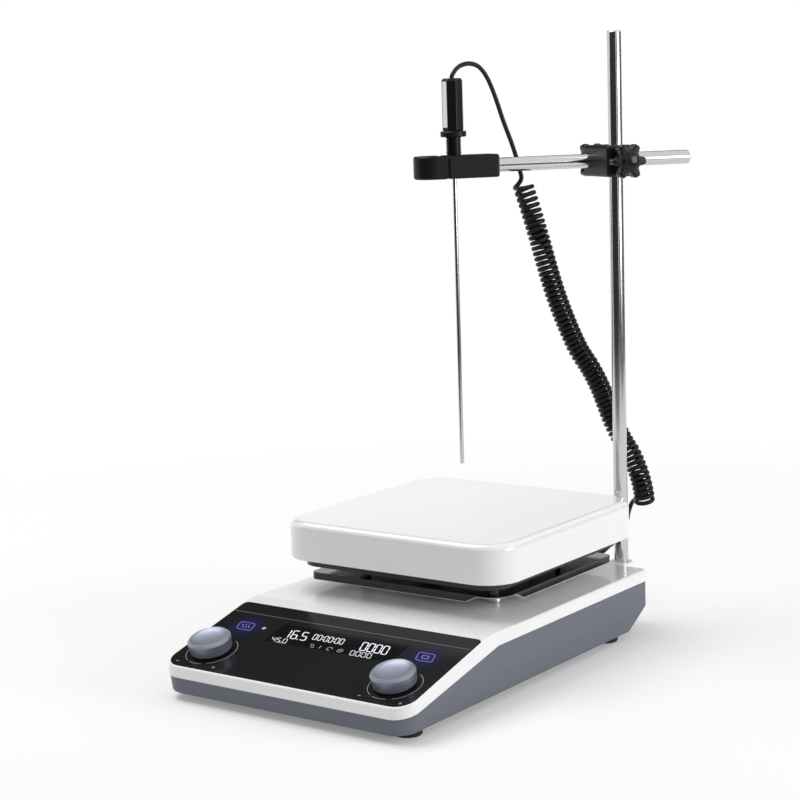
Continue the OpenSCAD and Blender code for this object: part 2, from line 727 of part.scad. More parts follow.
// Motor hung under its bracket
module stir_motor() color("silver") translate([0, plate_y, bracket_z - motor_h]) difference() {
    cylinder(r = motor_r, h = motor_h);
    translate([0, 0, 3]) cylinder(r = shaft_r + run_gap, h = motor_h);
}
module motor_bracket() color("gainsboro") difference() {
    translate([-bracket_w / 2, plate_y - bracket_d / 2, bracket_z]) cube([bracket_w, bracket_d, bracket_t]);
    translate([0, plate_y, bracket_z - 1]) cylinder(r = 2 * shaft_r, h = bracket_t + 2);
    plate_corners(bracket_w / 2 - bracket_inset, bracket_d / 2 - bracket_inset) translate([0, 0, bracket_z - 1])
        cylinder(r = bracket_screw_r + fit_gap, h = bracket_t + 2);
}
module motor_screws() color("silver") plate_corners(bracket_w / 2 - bracket_inset, bracket_d / 2 - bracket_inset) {
    translate([0, 0, bracket_z - case_grip]) cylinder(r = bracket_screw_r, h = case_grip + bracket_t + 1);
    translate([0, 0, bracket_z + bracket_t]) cylinder(r = 2 * bracket_screw_r, h = 2);
}

// Turning group: shaft, magnet yoke and drive magnets
module motor_shaft() color("silver") translate([0, plate_y, bracket_z - motor_h + 3 + fit_gap])
    cylinder(r = shaft_r, h = yoke_z + yoke_t - bracket_z + motor_h - 3 - fit_gap);
yoke_hub_h = 5;
module magnet_yoke() color("gray") translate([0, plate_y, yoke_z]) difference() {
    union() {
        translate([-yoke_len / 2, -yoke_w / 2, 0]) cube([yoke_len, yoke_w, yoke_t]);
        translate([0, 0, -yoke_hub_h]) cylinder(r = 2 * shaft_r, h = yoke_hub_h + eps);
    }
    translate([0, 0, -yoke_hub_h - 1]) cylinder(r = shaft_r + run_gap, h = yoke_hub_h + yoke_t + 2);
}
module drive_magnets() color("darkgray") for (side = [-1, 1])
    translate([side * (yoke_len / 2 - magnet_r - 1), plate_y, magnet_z]) cylinder(r = magnet_r, h = magnet_h);

// Quarter profile of the hotplate's rim
plate_rim = concat([[0, 0], [plate_corner_r, 0]],
    [for (i = [0:6]) let (a = 15 * i) [plate_corner_r - plate_fillet * (1 - cos(a)), plate_h - plate_fillet * (1 - sin(a))]],
    [[0, plate_h]]);

// Hotplate: a hollow casting with a filleted top edge and four bosses for the posts
module hotplate() color("white") difference() {
    union() {
        difference() {
            translate([0, plate_y, plate_bot_z]) {
                for (k = [0:3]) rotate([0, 0, 90 * k]) {
                    translate([plate_size / 2 - plate_corner_r, plate_size / 2 - plate_corner_r, 0]) {
                        rotate_extrude(angle = 90) polygon(plate_rim);
                        rotate([90, 0, 0]) linear_extrude(plate_size - 2 * plate_corner_r) polygon(plate_rim);
                    }
                }
                translate([plate_corner_r - plate_size / 2, plate_corner_r - plate_size / 2, 0])
                    cube([plate_size - 2 * plate_corner_r, plate_size - 2 * plate_corner_r, plate_h]);
            }
            translate([0, 0, plate_bot_z - 1]) plate_block(plate_size - 2 * plate_skirt, plate_size - 2 * plate_skirt,
                plate_under_z - plate_bot_z + 1, plate_corner_r - plate_skirt);
        }
        plate_corners(post_x, post_y) translate([0, 0, pan_z + sheet_t])
            cylinder(r = plate_boss_r, h = plate_under_z + 1 - pan_z - sheet_t);
    }
    plate_corners(post_x, post_y) translate([0, 0, pan_z]) cylinder(r = stud_r + fit_gap, h = stud_up + sheet_t);
}

// Heating element and insulation under the hotplate's face
module heating_element() color("sienna") difference() {
    translate([0, 0, heater_z]) plate_block(pan_size - 14, pan_size - 14, heater_t, pan_corner_r);
    plate_corners(post_x, post_y) translate([0, 0, heater_z - 1]) cylinder(r = plate_boss_r + 0.4, h = heater_t + 2);
}
module insulation_pad() color("beige") difference() {
    translate([0, 0, insulation_z]) plate_block(pan_size - sheet_t, pan_size - sheet_t, insulation_t, pan_corner_r);
    plate_corners(post_x, post_y) translate([0, 0, insulation_z - 1]) cylinder(r = plate_boss_r + 0.4, h = insulation_t + 2);
}

// Steel pan that closes the hotplate from below
module heater_pan() color("silver") difference() {
    translate([0, 0, pan_z]) plate_block(pan_size, pan_size, insulation_z - pan_z, pan_corner_r);
    translate([0, 0, pan_z + sheet_t]) plate_block(pan_size - 2 * sheet_t, pan_size - 2 * sheet_t, plate_h, pan_corner_r - sheet_t);
    plate_corners(post_x, post_y) translate([0, 0, pan_z - 1]) cylinder(r = stud_r + fit_gap, h = sheet_t + 2);
}

// Posts that carry the hotplate and the heat shield above the deck
module plate_posts() color("silver") plate_corners(post_x, post_y) {
    translate([0, 0, deck_z - stud_down]) cylinder(r = stud_r, h = pan_z + stud_up - deck_z + stud_down);
    translate([0, 0, deck_z]) cylinder(r = post_r, h = shield_z - deck_z);
    translate([0, 0, shield_z - eps]) cylinder(r = post_neck_r, h = pan_z - shield_z + eps);
}

// Polished heat shield: a sheet with a turned-down flange, cut away with sloped ends at the near corner
module heat_shield() color("lightgray") difference() {
    translate([0, 0, shield_z - shield_rim]) plate_block(shield_w, shield_d, shield_rim + sheet_t, shield_far_r);
    translate([0, 0, shield_z - shield_rim - 1])
        plate_block(shield_w - 2 * sheet_t, shield_d - 2 * sheet_t, shield_rim + 1, shield_far_r - sheet_t);
    translate([0, plate_y - shield_d / 2 + shield_relief, shield_z]) rotate([90, 0, 0])
        linear_extrude(shield_relief + 1) shield_notch(shield_w / 2);
    translate([shield_w / 2 - shield_relief, plate_y, shield_z]) rotate([90, 0, 90])
        linear_extrude(shield_relief + 1) mirror([1, 0]) shield_notch(shield_d / 2);
    translate([shield_w / 2 - shield_near_r, plate_y - shield_d / 2 + shield_near_r, shield_z - 1]) near_corner();
    translate([0, plate_y, shield_z - 1]) cylinder(r = shield_hole_r, h = sheet_t + 2);
    plate_corners(post_x, post_y) translate([0, 0, shield_z - 1]) cylinder(r = post_neck_r + fit_gap, h = sheet_t + 2);
}
shield_slant = 11;
module near_corner() difference() {
    translate([0, -shield_near_r - 1, 0]) cube([shield_near_r + 1, shield_near_r + 1, sheet_t + 2]);
    translate([0, 0, -1]) cylinder(r = shield_near_r, h = sheet_t + 4);
}
module shield_notch(half) polygon([[half - shield_relief, 0],
    [half - shield_relief - shield_slant * (1 + 1 / shield_rim), -shield_rim - 1], [half + 1, -shield_rim - 1], [half + 1, 0]]);

// Power board behind the motor, with its transformer, relay and capacitor
module power_pillars() for (i = [-1, 1], j = [-1, 1])
    translate([power_x + i * (power_w / 2 - 6), power_y + j * (power_d / 2 - 6), 0]) children();
module power_board() color("darkgreen") translate([power_x - power_w / 2, power_y - power_d / 2, floor_z + power_lift])
    cube([power_w, power_d, board_t]);
transformer = [30, power_d - 8, 18];
relay = [20, power_d / 2, 15];
capacitor_r = 7;
capacitor_h = 18;
module power_parts() color("goldenrod") translate([power_x, power_y, floor_z + power_lift + board_t]) {
    translate([-power_w / 2 + 8, -transformer[1] / 2, 0]) cube(transformer);
    translate([2, -relay[1] / 2, 0]) cube(relay);
    translate([power_w / 2 - 14, 0, 0]) cylinder(r = capacitor_r, h = capacitor_h);
}

// Bracket that holds the support rod behind the base
module rod_bracket() color("white") difference() {
    union() {
        translate([rod_x - bracket_plate_w / 2, rear_y, bracket_bottom_z])
            cube([bracket_plate_w, bracket_plate_t, bracket_top_z - bracket_bottom_z]);
        translate([rod_x - bracket_lug_r, rear_y, bracket_bottom_z])
            cube([2 * bracket_lug_r, rod_back, bracket_lug_z - bracket_bottom_z]);
        translate([rod_x, rod_y, bracket_bottom_z]) cylinder(r = bracket_lug_r, h = bracket_lug_z - bracket_bottom_z);
    }
    translate([rod_x, rod_y, rod_foot_z]) cylinder(r = rod_r + run_gap, h = deck_z);
    for (side = [-1, 1])
        rear_round(rod_x + side * bracket_bolt_x, bracket_bolt_z, bracket_bolt_r + fit_gap, -1, bracket_plate_t + 1);
}
module bracket_screws() color("silver") for (side = [-1, 1]) {
    rear_round(rod_x + side * bracket_bolt_x, bracket_bolt_z, bracket_bolt_r, -shell_wall - 6, bracket_plate_t + 1);
    rear_round(rod_x + side * bracket_bolt_x, bracket_bolt_z, bracket_bolt_head_r, bracket_plate_t,
        bracket_plate_t + bracket_bolt_head_h);
}

// Support rod with a chamfered top
module support_rod() color("silver") translate([rod_x, rod_y, rod_foot_z]) {
    cylinder(r = rod_r, h = rod_len - rod_chamfer);
    translate([0, 0, rod_len - rod_chamfer]) cylinder(r1 = rod_r, r2 = rod_r - rod_chamfer, h = rod_chamfer);
}

// Boss head: a bar with one bore for each rod and a threaded hole at each end
module boss_head() color("black") on_arm() difference() {
    translate([-boss_w / 2, -rod_spacing - boss_end, -boss_w / 2]) cube([boss_w, rod_spacing + 2 * boss_end, boss_w]);
    cylinder(r = rod_r + run_gap, h = 2 * boss_w, center = true);
    translate([0, -rod_spacing, 0]) rotate([0, 90, 0]) cylinder(r = rod_r + run_gap, h = 2 * boss_w, center = true);
    rotate([-90, 0, 0]) cylinder(r = screw_hole_r, h = boss_end + 1);
    translate([0, -rod_spacing, 0]) rotate([90, 0, 0]) cylinder(r = screw_hole_r, h = boss_end + 1);
}

// Hand screws that lock the rods, each with a pressure pad at its tip, along +Z from a rod's axis
module screw_pad() color("goldenrod") translate([0, 0, rod_r + pad_gap]) cylinder(r = pad_r, h = pad_t);
module hand_screw() color("black") translate([0, 0, rod_r + pad_gap + pad_t]) {
    cylinder(r = screw_r, h = boss_end + star_gap + 1 - rod_r - pad_gap - pad_t);
    translate([0, 0, boss_end + star_gap - rod_r - pad_gap - pad_t]) {
        cylinder(r = star_core_r, h = star_t);
        for (k = [0:star_lobes - 1]) rotate([0, 0, 360 / star_lobes * k])
            translate([star_r - star_lobe_r, 0, 1]) cylinder(r = star_lobe_r, h = star_t - 2);
    }
}
module rod_screw_axis() on_arm() rotate([-90, 0, 0]) children();
module arm_screw_axis() on_cross() rotate([90, 0, 0]) children();
module rod_screw_pad() rod_screw_axis() screw_pad();
module rod_hand_screw() rod_screw_axis() hand_screw();
module arm_screw_pad() arm_screw_axis() screw_pad();
module arm_hand_screw() arm_screw_axis() hand_screw();

// Cross rod through the boss head
module cross_rod() color("silver") on_cross() translate([-cross_tail, 0, 0]) rotate([0, 90, 0]) {
    translate([0, 0, rod_chamfer]) cylinder(r = rod_r, h = cross_len - rod_chamfer);
    cylinder(r1 = rod_r - rod_chamfer, r2 = rod_r, h = rod_chamfer);
}

// Probe clamp: a bar that takes the cross rod, with a round head beyond the probe
module probe_clamp() color("black") on_cross() difference() {
    union() {
        translate([clamp_end_s, -clamp_w / 2, -clamp_h / 2]) cube([head_s - clamp_end_s + eps, clamp_w, clamp_h]);
        translate([head_s, -clamp_head_r, -clamp_h / 2]) cube([clamp_head - clamp_head_r, 2 * clamp_head_r, clamp_h]);
        translate([head_s + clamp_head - clamp_head_r, 0, -clamp_h / 2]) cylinder(r = clamp_head_r, h = clamp_h);
    }
    translate([clamp_end_s - 1, 0, 0]) rotate([0, 90, 0]) cylinder(r = rod_r + run_gap, h = clamp_seat + fit_gap + 1);
    translate([probe_s, 0, -clamp_h]) cylinder(r = stub_r + run_gap, h = 2 * clamp_h);
    translate([clamp_end_s + clamp_seat / 2, 0, -clamp_h]) cylinder(r = clamp_screw_r + run_gap, h = clamp_h);
    translate([head_s + clamp_head - clamp_head_r, 0, clamp_h / 2 - recess_d]) cylinder(r = recess_r, h = recess_d + 1);
}

// Grub screw under the clamp, against the cross rod
module clamp_screw() color("silver") on_cross() translate([clamp_end_s + clamp_seat / 2, 0, -clamp_h / 2])
    cylinder(r = clamp_screw_r, h = clamp_h / 2 - rod_r - pad_gap);

// Temperature probe: threaded stub and handle, collar, and steel sheath
module probe_handle() color("black") on_cross() translate([probe_s, 0, 0]) {
    translate([0, 0, -stub_sink]) cylinder(r = stub_r, h = stub_sink + handle_z + 1);
    translate([0, 0, handle_z]) linear_extrude(handle_h) polygon([for (k = [0:handle_sides - 1])
        let (a = handle_turn + 360 * k / handle_sides) handle_r * [cos(a), sin(a)]]);
}
module probe_collar() color("black") on_cross() translate([probe_s, 0, stub_top]) difference() {
    cylinder(r = collar_r, h = collar_h);
    translate([0, 0, -1]) cylinder(r = stub_r + run_gap, h = collar_h + 2);
}
module probe_sheath() color("silver") on_cross() translate([probe_s, 0, tip_z - arm_z])
    cylinder(r = sheath_r, h = arm_z - stub_sink - tip_z);

// Plug of the probe's lead, in its socket
plug_nose = 7;
plug_len = 34;
plug_r = socket_r + socket_wall;
plug_neck_r = 3;
plug_tail = 6;
plug_end_y = rear_y + socket_proud + plug_len + plug_tail;
module probe_plug() color("black") {
    rear_round(socket_x, rear_mid_z, socket_r - run_gap, socket_proud - plug_nose, socket_proud);
    rear_round(socket_x, rear_mid_z, plug_r, socket_proud, socket_proud + plug_len);
    rear_round(socket_x, rear_mid_z, plug_neck_r, socket_proud + plug_len - 1, socket_proud + plug_len + plug_tail);
}

// Route of the lead: from the handle over the cross rod, the curls, and on to the plug
cord_start = [rod_x + probe_s * cos(arm_yaw) + rod_spacing * sin(arm_yaw),
    rod_y + probe_s * sin(arm_yaw) - rod_spacing * cos(arm_yaw), arm_z + handle_top];
top_points = [cord_start, cord_start + [0, 0, 1.4], [-9.2, 36.7, 398.3], [-8.1, 38.9, 401], [-6.4, 42.3, 403.2],
    [-4, 47, 404.2], [-1.6, 51.6, 403.4], [0.6, 56, 400.5], [3, 61, 393], [5, 67, 380], [7, 73, 364], [9, 79, 350],
    [10.6, 82.8, 339], [11.6, 84.4, 332]];
coil_points = [[11.6, 84.4, 332], [12.6, 86, 325], [14.1, 87.1, 317], [19, 89, 299], [23, 92, 280], [26.5, 96, 260], [30, 101, 240],
    [34.5, 107, 220], [40, 114, 200], [46, 121, 185], [50.5, 127, 170], [53.5, 131.5, 156], [57, 135, 143],
    [62, 138, 131], [67.5, 141, 120], [72, 143, 107], [74.2, 145, 95], [74.6, 146.4, 86],
    [73.4, 147.6, 78.5]];
lead_points = [[73.4, 147.6, 78.5], [72.68, 148.32, 74], [69, 149.3, 70.5], [61, 150.5, 67.5],
    [52, 152, 62.5], [42, 155, 54.5], [32, 158, 46], [22, 159, 37], [socket_x, plug_end_y + 8, rear_mid_z + 1],
    [socket_x, plug_end_y + 4, rear_mid_z], [socket_x, plug_end_y, rear_mid_z]];

// Smooth curve through a list of points, at u from 0 to the last index
function mirrored(p, i) = i < 0 ? 2 * p[0] - p[1] : i >= len(p) ? 2 * p[len(p) - 1] - p[len(p) - 2] : p[i];
function along(p, u) = let (i = min(floor(u), len(p) - 2), t = u - i,
        a = mirrored(p, i - 1), b = p[i], c = p[i + 1], d = mirrored(p, i + 2))
    b + 0.5 * t * (c - a) + t * t * (a - 2.5 * b + 2 * c - 0.5 * d) + t * t * t * (1.5 * (b - c) + 0.5 * (d - a));
function unit(v) = v / norm(v);
function heading(p, u) = let (h = 0.01, top = len(p) - 1)
    u <= 0 ? unit(p[1] - p[0]) : u >= top ? unit(p[top] - p[top - 1]) : unit(along(p, u + h) - along(p, u - h));

// Ring of points around a centre, square to a direction
function ring(centre, direction, side, r, sides) = let (e1 = unit(side - (side * direction) * direction),
        e2 = cross(direction, e1))
    [for (k = [0:sides - 1]) centre + r * (cos(360 * k / sides) * e1 + sin(360 * k / sides) * e2)];

// Closed tube of triangles over a list of rings
module tube(rings) {
    sides = len(rings[0]);
    last = len(rings) - 1;
    faces = concat(
        [for (k = [1:sides - 2]) [0, k, k + 1]],
        [for (k = [1:sides - 2]) [last * sides, last * sides + k + 1, last * sides + k]],
        [for (i = [0:last - 1], k = [0:sides - 1]) [i * sides + k, (i + 1) * sides + k, i * sides + (k + 1) % sides]],
        [for (i = [0:last - 1], k = [0:sides - 1])
            [i * sides + (k + 1) % sides, (i + 1) * sides + k, (i + 1) * sides + (k + 1) % sides]]);
    polyhedron([for (r = rings) each r], faces);
}

// Plain stretch of the lead along a route, with a number of steps to each of its points
plain_sides = 8;
route_side = [0, 1, 0];
function plain_rings(p, steps) = let (n = steps * (len(p) - 1))
    [for (i = [0:n]) ring(along(p, i / steps), heading(p, i / steps), route_side, cord_r, plain_sides)];
module cord_top() color("black") tube(plain_rings(top_points, 2));
lead_side = [0, 0, 1];
module cord_lead() color("black") tube([for (i = [0:2 * (len(lead_points) - 1)])
    ring(along(lead_points, i / 2), heading(lead_points, i / 2), lead_side, cord_r, plain_sides)]);

// Curly stretch: a helix around the route, drawn in to a straight end of one diameter at each end
curl_sides = 6;
curl_rings = 8;
route_steps = 200;
route_lengths = [for (i = 0, s = 0; i <= route_steps;
        s = s + norm(spine_at(i + 1) - spine_at(i)), i = i + 1) s];
function spine_at(i) = along(coil_points, min(i, route_steps) * (len(coil_points) - 1) / route_steps);
function route_u(s) = lookup(s, [for (i = [0:route_steps])
    [route_lengths[i], i * (len(coil_points) - 1) / route_steps]]);
coil_len = route_lengths[route_steps];
end_len = 2 * cord_r;
curl_len = coil_len - 2 * end_len;
curl_pitch = curl_len / curls;
ease_len = 1.5 * curl_pitch;
function eased(t) = t <= 0 ? 0 : t >= 1 ? 1 : t * t * (3 - 2 * t);
function curl_at(s) = let (u = route_u(s), t = heading(coil_points, u), e1 = unit(cross(t, [1, 0, 0])), e2 = cross(t, e1),
        a = 360 * max(0, min(curl_len, s - end_len)) / curl_pitch,
        r = curl_r * eased((s - end_len) / ease_len) * eased((coil_len - end_len - s) / ease_len))
    [along(coil_points, u) + r * (cos(a) * e1 + sin(a) * e2), cos(a) * e1 + sin(a) * e2];
curl_step = curl_pitch / curl_rings;
curl_places = concat([0], [for (i = [0:curls * curl_rings]) end_len + i * curl_step], [coil_len]);
curl_centres = [for (s = curl_places) curl_at(s)];
function curl_heading(i) = let (n = len(curl_centres) - 1)
    i == 0 ? heading(coil_points, 0) : i == n ? heading(coil_points, len(coil_points) - 1)
        : unit(curl_centres[i + 1][0] - curl_centres[i - 1][0]);
curl_gap = min([for (i = [0:len(curl_centres) - 1], k = [curl_rings - 2:curl_rings + 2])
    if (i + k < len(curl_centres)) norm(curl_centres[i + k][0] - curl_centres[i][0])]) - 2 * cord_r;
module cord_coil() {
    echo(least_gap_between_curls = curl_gap);
    color("black") tube([for (i = [0:len(curl_centres) - 1])
        ring(curl_centres[i][0], curl_heading(i), curl_centres[i][1], cord_r, curl_sides)]);
}

base_tray();
top_cover();
rubber_feet();
case_screws();
rear_panel();
mains_inlet();
inlet_pins();
switch_frame();
power_rocker();
fuse_holder();
fuse_cap();
probe_socket();
panel_overlay();
display_module();
key_light_guides();
status_lens();
control_board();
board_posts();
temp_encoder();
speed_encoder();
temp_plunger();
speed_plunger();
temp_shaft();
speed_shaft();
temp_knob();
speed_knob();
stir_motor();
motor_bracket();
motor_screws();
motor_shaft();
magnet_yoke();
drive_magnets();
hotplate();
heating_element();
insulation_pad();
heater_pan();
plate_posts();
heat_shield();
power_board();
power_parts();
rod_bracket();
bracket_screws();
support_rod();
boss_head();
rod_screw_pad();
rod_hand_screw();
arm_screw_pad();
arm_hand_screw();
cross_rod();
probe_clamp();
clamp_screw();
probe_handle();
probe_collar();
probe_sheath();
cord_top();
cord_coil();
cord_lead();
probe_plug();
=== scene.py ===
"""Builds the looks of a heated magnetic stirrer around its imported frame."""

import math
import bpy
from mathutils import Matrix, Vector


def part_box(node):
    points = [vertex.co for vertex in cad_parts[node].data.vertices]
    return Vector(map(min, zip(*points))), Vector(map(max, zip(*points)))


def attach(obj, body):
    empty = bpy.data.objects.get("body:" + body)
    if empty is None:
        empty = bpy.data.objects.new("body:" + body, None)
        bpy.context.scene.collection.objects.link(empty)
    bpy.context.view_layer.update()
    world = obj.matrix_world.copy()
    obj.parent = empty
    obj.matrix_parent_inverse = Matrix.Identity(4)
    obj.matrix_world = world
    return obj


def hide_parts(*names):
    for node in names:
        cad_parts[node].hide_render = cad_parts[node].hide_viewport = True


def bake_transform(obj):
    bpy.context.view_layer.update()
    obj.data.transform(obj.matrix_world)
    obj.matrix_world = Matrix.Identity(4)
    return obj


bl_info = {
    "name": "Heated magnetic stirrer",
    "version": (1, 0, 0),
    "blender": (4, 5, 0),
    "location": "View3D > Sidebar > Stirrer",
    "description": "Models the shells, panel, hotplate, stand and probe of a heated magnetic stirrer",
    "category": "Object",
}

import bmesh
import bpy
from bpy.props import FloatProperty, FloatVectorProperty, IntProperty, PointerProperty
from mathutils import Matrix, Vector

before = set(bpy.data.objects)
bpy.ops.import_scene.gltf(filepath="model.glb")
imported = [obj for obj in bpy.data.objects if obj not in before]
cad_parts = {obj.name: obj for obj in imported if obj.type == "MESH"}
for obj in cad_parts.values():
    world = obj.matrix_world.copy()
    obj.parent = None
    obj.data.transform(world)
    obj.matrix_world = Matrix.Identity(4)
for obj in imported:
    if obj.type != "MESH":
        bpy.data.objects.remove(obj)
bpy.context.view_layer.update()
MM = 0.001


def corners(node):
    """Lowest and highest corner of a solid of the frame, in millimetres."""
    low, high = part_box(node)
    return [v / MM for v in low], [v / MM for v in high]


cover_low, cover_high = corners("top_cover")
tray_low, tray_high = corners("base_tray")
plate_low, plate_high = corners("hotplate")
shield_low, shield_high = corners("heat_shield")
rod_low, rod_high = corners("support_rod")
boss_low, boss_high = corners("boss_head")
sheath_low, sheath_high = corners("probe_sheath")
rear_low, rear_high = corners("rear_panel")
plug_low, plug_high = corners("probe_plug")
handle_top = corners("probe_handle")[1][2]
half_w = cover_high[0]
front_y = cover_low[1]
rear_y = cover_high[1]
deck_z = cover_high[2]
plate_y = (plate_low[1] + plate_high[1]) / 2
rod_x = (rod_low[0] + rod_high[0]) / 2
rod_y = (rod_low[1] + rod_high[1]) / 2
arm_z = (boss_low[2] + boss_high[2]) / 2
probe_x = (sheath_low[0] + sheath_high[0]) / 2
probe_y = (sheath_low[1] + sheath_high[1]) / 2
plug_x = (plug_low[0] + plug_high[0]) / 2
plug_z = (plug_low[2] + plug_high[2]) / 2


class StirrerSizes(bpy.types.PropertyGroup):
    """Sizes of the visible pieces"""

    crease: FloatProperty(name="Crease", description="Height of the crease around the lower shell",
                          default=0.020, unit="LENGTH")
    lip: FloatProperty(name="Lip", description="Height of the top of the front lip",
                       default=0.023, unit="LENGTH")
    slope: FloatProperty(name="Panel slope", description="Slope of the control panel",
                         default=math.radians(14.4), subtype="ANGLE")
    seam_level: FloatProperty(name="Seam level",
                              description="Distance behind the front where the seam turns level",
                              default=0.101, unit="LENGTH")
    front_corner: FloatProperty(name="Front corner", description="Plan radius of the front corners",
                                default=0.014, unit="LENGTH")
    rear_corner: FloatProperty(name="Rear corner", description="Plan radius of the rear corners",
                               default=0.004, unit="LENGTH")
    edge: FloatProperty(name="Edge", description="Radius along the top edges of the upper shell",
                        default=0.0016, unit="LENGTH")
    wall: FloatProperty(name="Wall", description="Wall of the moulded shells",
                        default=0.0025, unit="LENGTH")
    plate_corner: FloatProperty(name="Plate corner", description="Plan radius of the hotplate's corners",
                                default=0.024, unit="LENGTH")
    plate_fillet: FloatProperty(name="Plate fillet", description="Fillet around the hotplate's top edge",
                                default=0.005, unit="LENGTH")
    arm_yaw: FloatProperty(name="Arm direction", description="Direction of the arm, anticlockwise from +X",
                           default=math.radians(236), subtype="ANGLE")
    star_lobes: IntProperty(name="Star lobes", description="Lobes of a hand screw's star knob", default=6)
    curls: IntProperty(name="Curls", description="Number of curls in the probe's lead", default=66)
    cord_radius: FloatProperty(name="Lead radius", description="Radius of the probe's lead",
                               default=0.0016, unit="LENGTH")
    curl_radius: FloatProperty(name="Curl radius", description="Radius of a curl at the middle of the lead",
                               default=0.0061, unit="LENGTH")


def colour(title, about, value):
    """A colour that a user may change."""
    return FloatVectorProperty(name=title, description=about, default=value, subtype="COLOR", min=0, max=1)


class StirrerColours(bpy.types.PropertyGroup):
    """Colours of the finishes"""

    cover: colour("Cover", "White of the upper shell", (0.91, 0.91, 0.915))
    base: colour("Base", "Blue grey of the lower shell", (0.142, 0.152, 0.185))
    plate: colour("Hotplate", "White of the hotplate's enamel", (0.87, 0.87, 0.88))
    panel: colour("Panel", "Black of the control panel", (0.013, 0.013, 0.014))
    knob: colour("Knob", "Blue grey of the knobs", (0.265, 0.290, 0.355))
    plastic: colour("Plastic", "Black of the clamps and the probe", (0.009, 0.009, 0.010))
    key_light: colour("Key light", "Blue of the lit keys", (0.15, 0.14, 0.50))
    steel: colour("Steel", "Polished steel of the rods", (0.60, 0.595, 0.595))


def sizes():
    """The sizes in this scene."""
    return bpy.context.scene.stirrer_sizes


def colours():
    """The colours in this scene."""
    return bpy.context.scene.stirrer_colours


# Places

def at(x, y, z):
    """A move by millimetres."""
    return Matrix.Translation((x * MM, y * MM, z * MM))


def turn(degrees, axis):
    """A turn about an axis of the frame."""
    return Matrix.Rotation(math.radians(degrees), 4, axis)


def on_panel():
    """Frame of the sloped panel: x across, y up the slope, z off its surface."""
    return at(0, front_y, sizes().lip / MM) @ Matrix.Rotation(sizes().slope, 4, "X")


def on_arm():
    """Frame of the arm on the support rod: x towards the probe, z up."""
    return at(rod_x, rod_y, arm_z) @ Matrix.Rotation(sizes().arm_yaw, 4, "Z")


# Distance between the two rods in the boss head, and the probe's place along the cross rod
ROD_SPACING = 20
PROBE_S = 114


def on_cross():
    """Frame of the cross rod beside the support rod."""
    return on_arm() @ at(0, -ROD_SPACING, 0)


# Modelling by hand, in code

# Close and rough distances, in millimetres
NEAR = 0.01
ABOUT = 0.1
# How far up or down the normal of a face points where the face slopes, lies level or stands upright
SLOPED = 0.5
LEVEL = 0.9
UPRIGHT = 0.1
# Distance in metres at which doubled corners merge, and the angle below which two faces are one
WELD = 0.00001
FLAT_ANGLE = 1
# Sides of the lead's round section
CORD_SIDES = 12


def only(piece):
    """Selects one object alone and makes it active."""
    bpy.ops.object.select_all(action="DESELECT")
    piece.select_set(True)
    bpy.context.view_layer.objects.active = piece


def enter(piece):
    """Opens a piece in edit mode with all of it selected."""
    only(piece)
    bpy.ops.object.mode_set(mode="EDIT")
    bpy.ops.mesh.select_mode(type="VERT")
    bpy.ops.mesh.select_all(action="SELECT")


def leave():
    """Closes edit mode."""
    bpy.ops.object.mode_set(mode="OBJECT")


def pick(kind, test):
    """Selects the vertices, edges or faces of the open mesh that pass a test."""
    bpy.ops.mesh.select_mode(type=kind)
    bpy.ops.mesh.select_all(action="DESELECT")
    mesh = bpy.context.object.data
    shape = bmesh.from_edit_mesh(mesh)
    groups = {"VERT": shape.verts, "EDGE": shape.edges, "FACE": shape.faces}
    for item in groups[kind]:
        if test(item):
            item.select_set(True)
    bmesh.update_edit_mesh(mesh)


def middle(edge):
    """Middle of an edge, in millimetres."""
    return (edge.verts[0].co + edge.verts[1].co) / (2 * MM)


def climbs(edge):
    """Whether an edge runs up rather than along."""
    run = edge.verts[1].co - edge.verts[0].co
    return abs(run.z) > SLOPED * run.length


def level_at(edge, height):
    """Whether both ends of an edge lie at a height."""
    return all(abs(v.co.z / MM - height) < NEAR for v in edge.verts)


def rims_top(edge):
    """Whether an edge lies between a face that looks up and a side face."""
    if len(edge.link_faces) != 2:
        return False
    slopes = sorted(face.normal.z for face in edge.link_faces)
    return slopes[0] < SLOPED and slopes[1] > LEVEL


def hems(edge, height):
    """Whether an edge below a height lies between an upright face and one that looks down."""
    if len(edge.link_faces) != 2 or middle(edge).z > height + ABOUT:
        return False
    slopes = sorted(face.normal.z for face in edge.link_faces)
    return slopes[0] < -SLOPED and abs(slopes[1]) < UPRIGHT


def round_edges(test, radius, steps):
    """Rounds the edges that pass a test."""
    pick("EDGE", test)
    bpy.ops.mesh.bevel(offset=radius * MM, segments=steps, affect="EDGES")


def slice_open(point, normal, clear=False):
    """Cuts the open mesh by a plane, and takes away what lies beyond it if asked."""
    bpy.ops.mesh.select_all(action="SELECT")
    bpy.ops.mesh.bisect(plane_co=[v * MM for v in point], plane_no=Vector(normal).normalized(),
                         use_fill=clear, clear_outer=clear)


def reshape(move):
    """Moves each vertex of the open mesh, in millimetres."""
    mesh = bpy.context.object.data
    shape = bmesh.from_edit_mesh(mesh)
    for vertex in shape.verts:
        vertex.co = Vector(move(*(vertex.co / MM))) * MM
    bmesh.update_edit_mesh(mesh)


def settle(piece, place):
    """Puts a piece in its place, with the place in its mesh."""
    piece.matrix_world = place
    only(piece)
    bpy.ops.object.transform_apply(location=True, rotation=True, scale=True)
    return piece


def block(name, low, high):
    """A cube stretched between two corners, in millimetres."""
    bpy.ops.object.select_all(action="DESELECT")
    bpy.ops.mesh.primitive_cube_add(size=1, location=[(a + b) / 2 * MM for a, b in zip(low, high)])
    piece = bpy.context.object
    piece.name = name
    piece.scale = [(b - a) * MM for a, b in zip(low, high)]
    bpy.ops.object.transform_apply(location=True, rotation=True, scale=True)
    return piece


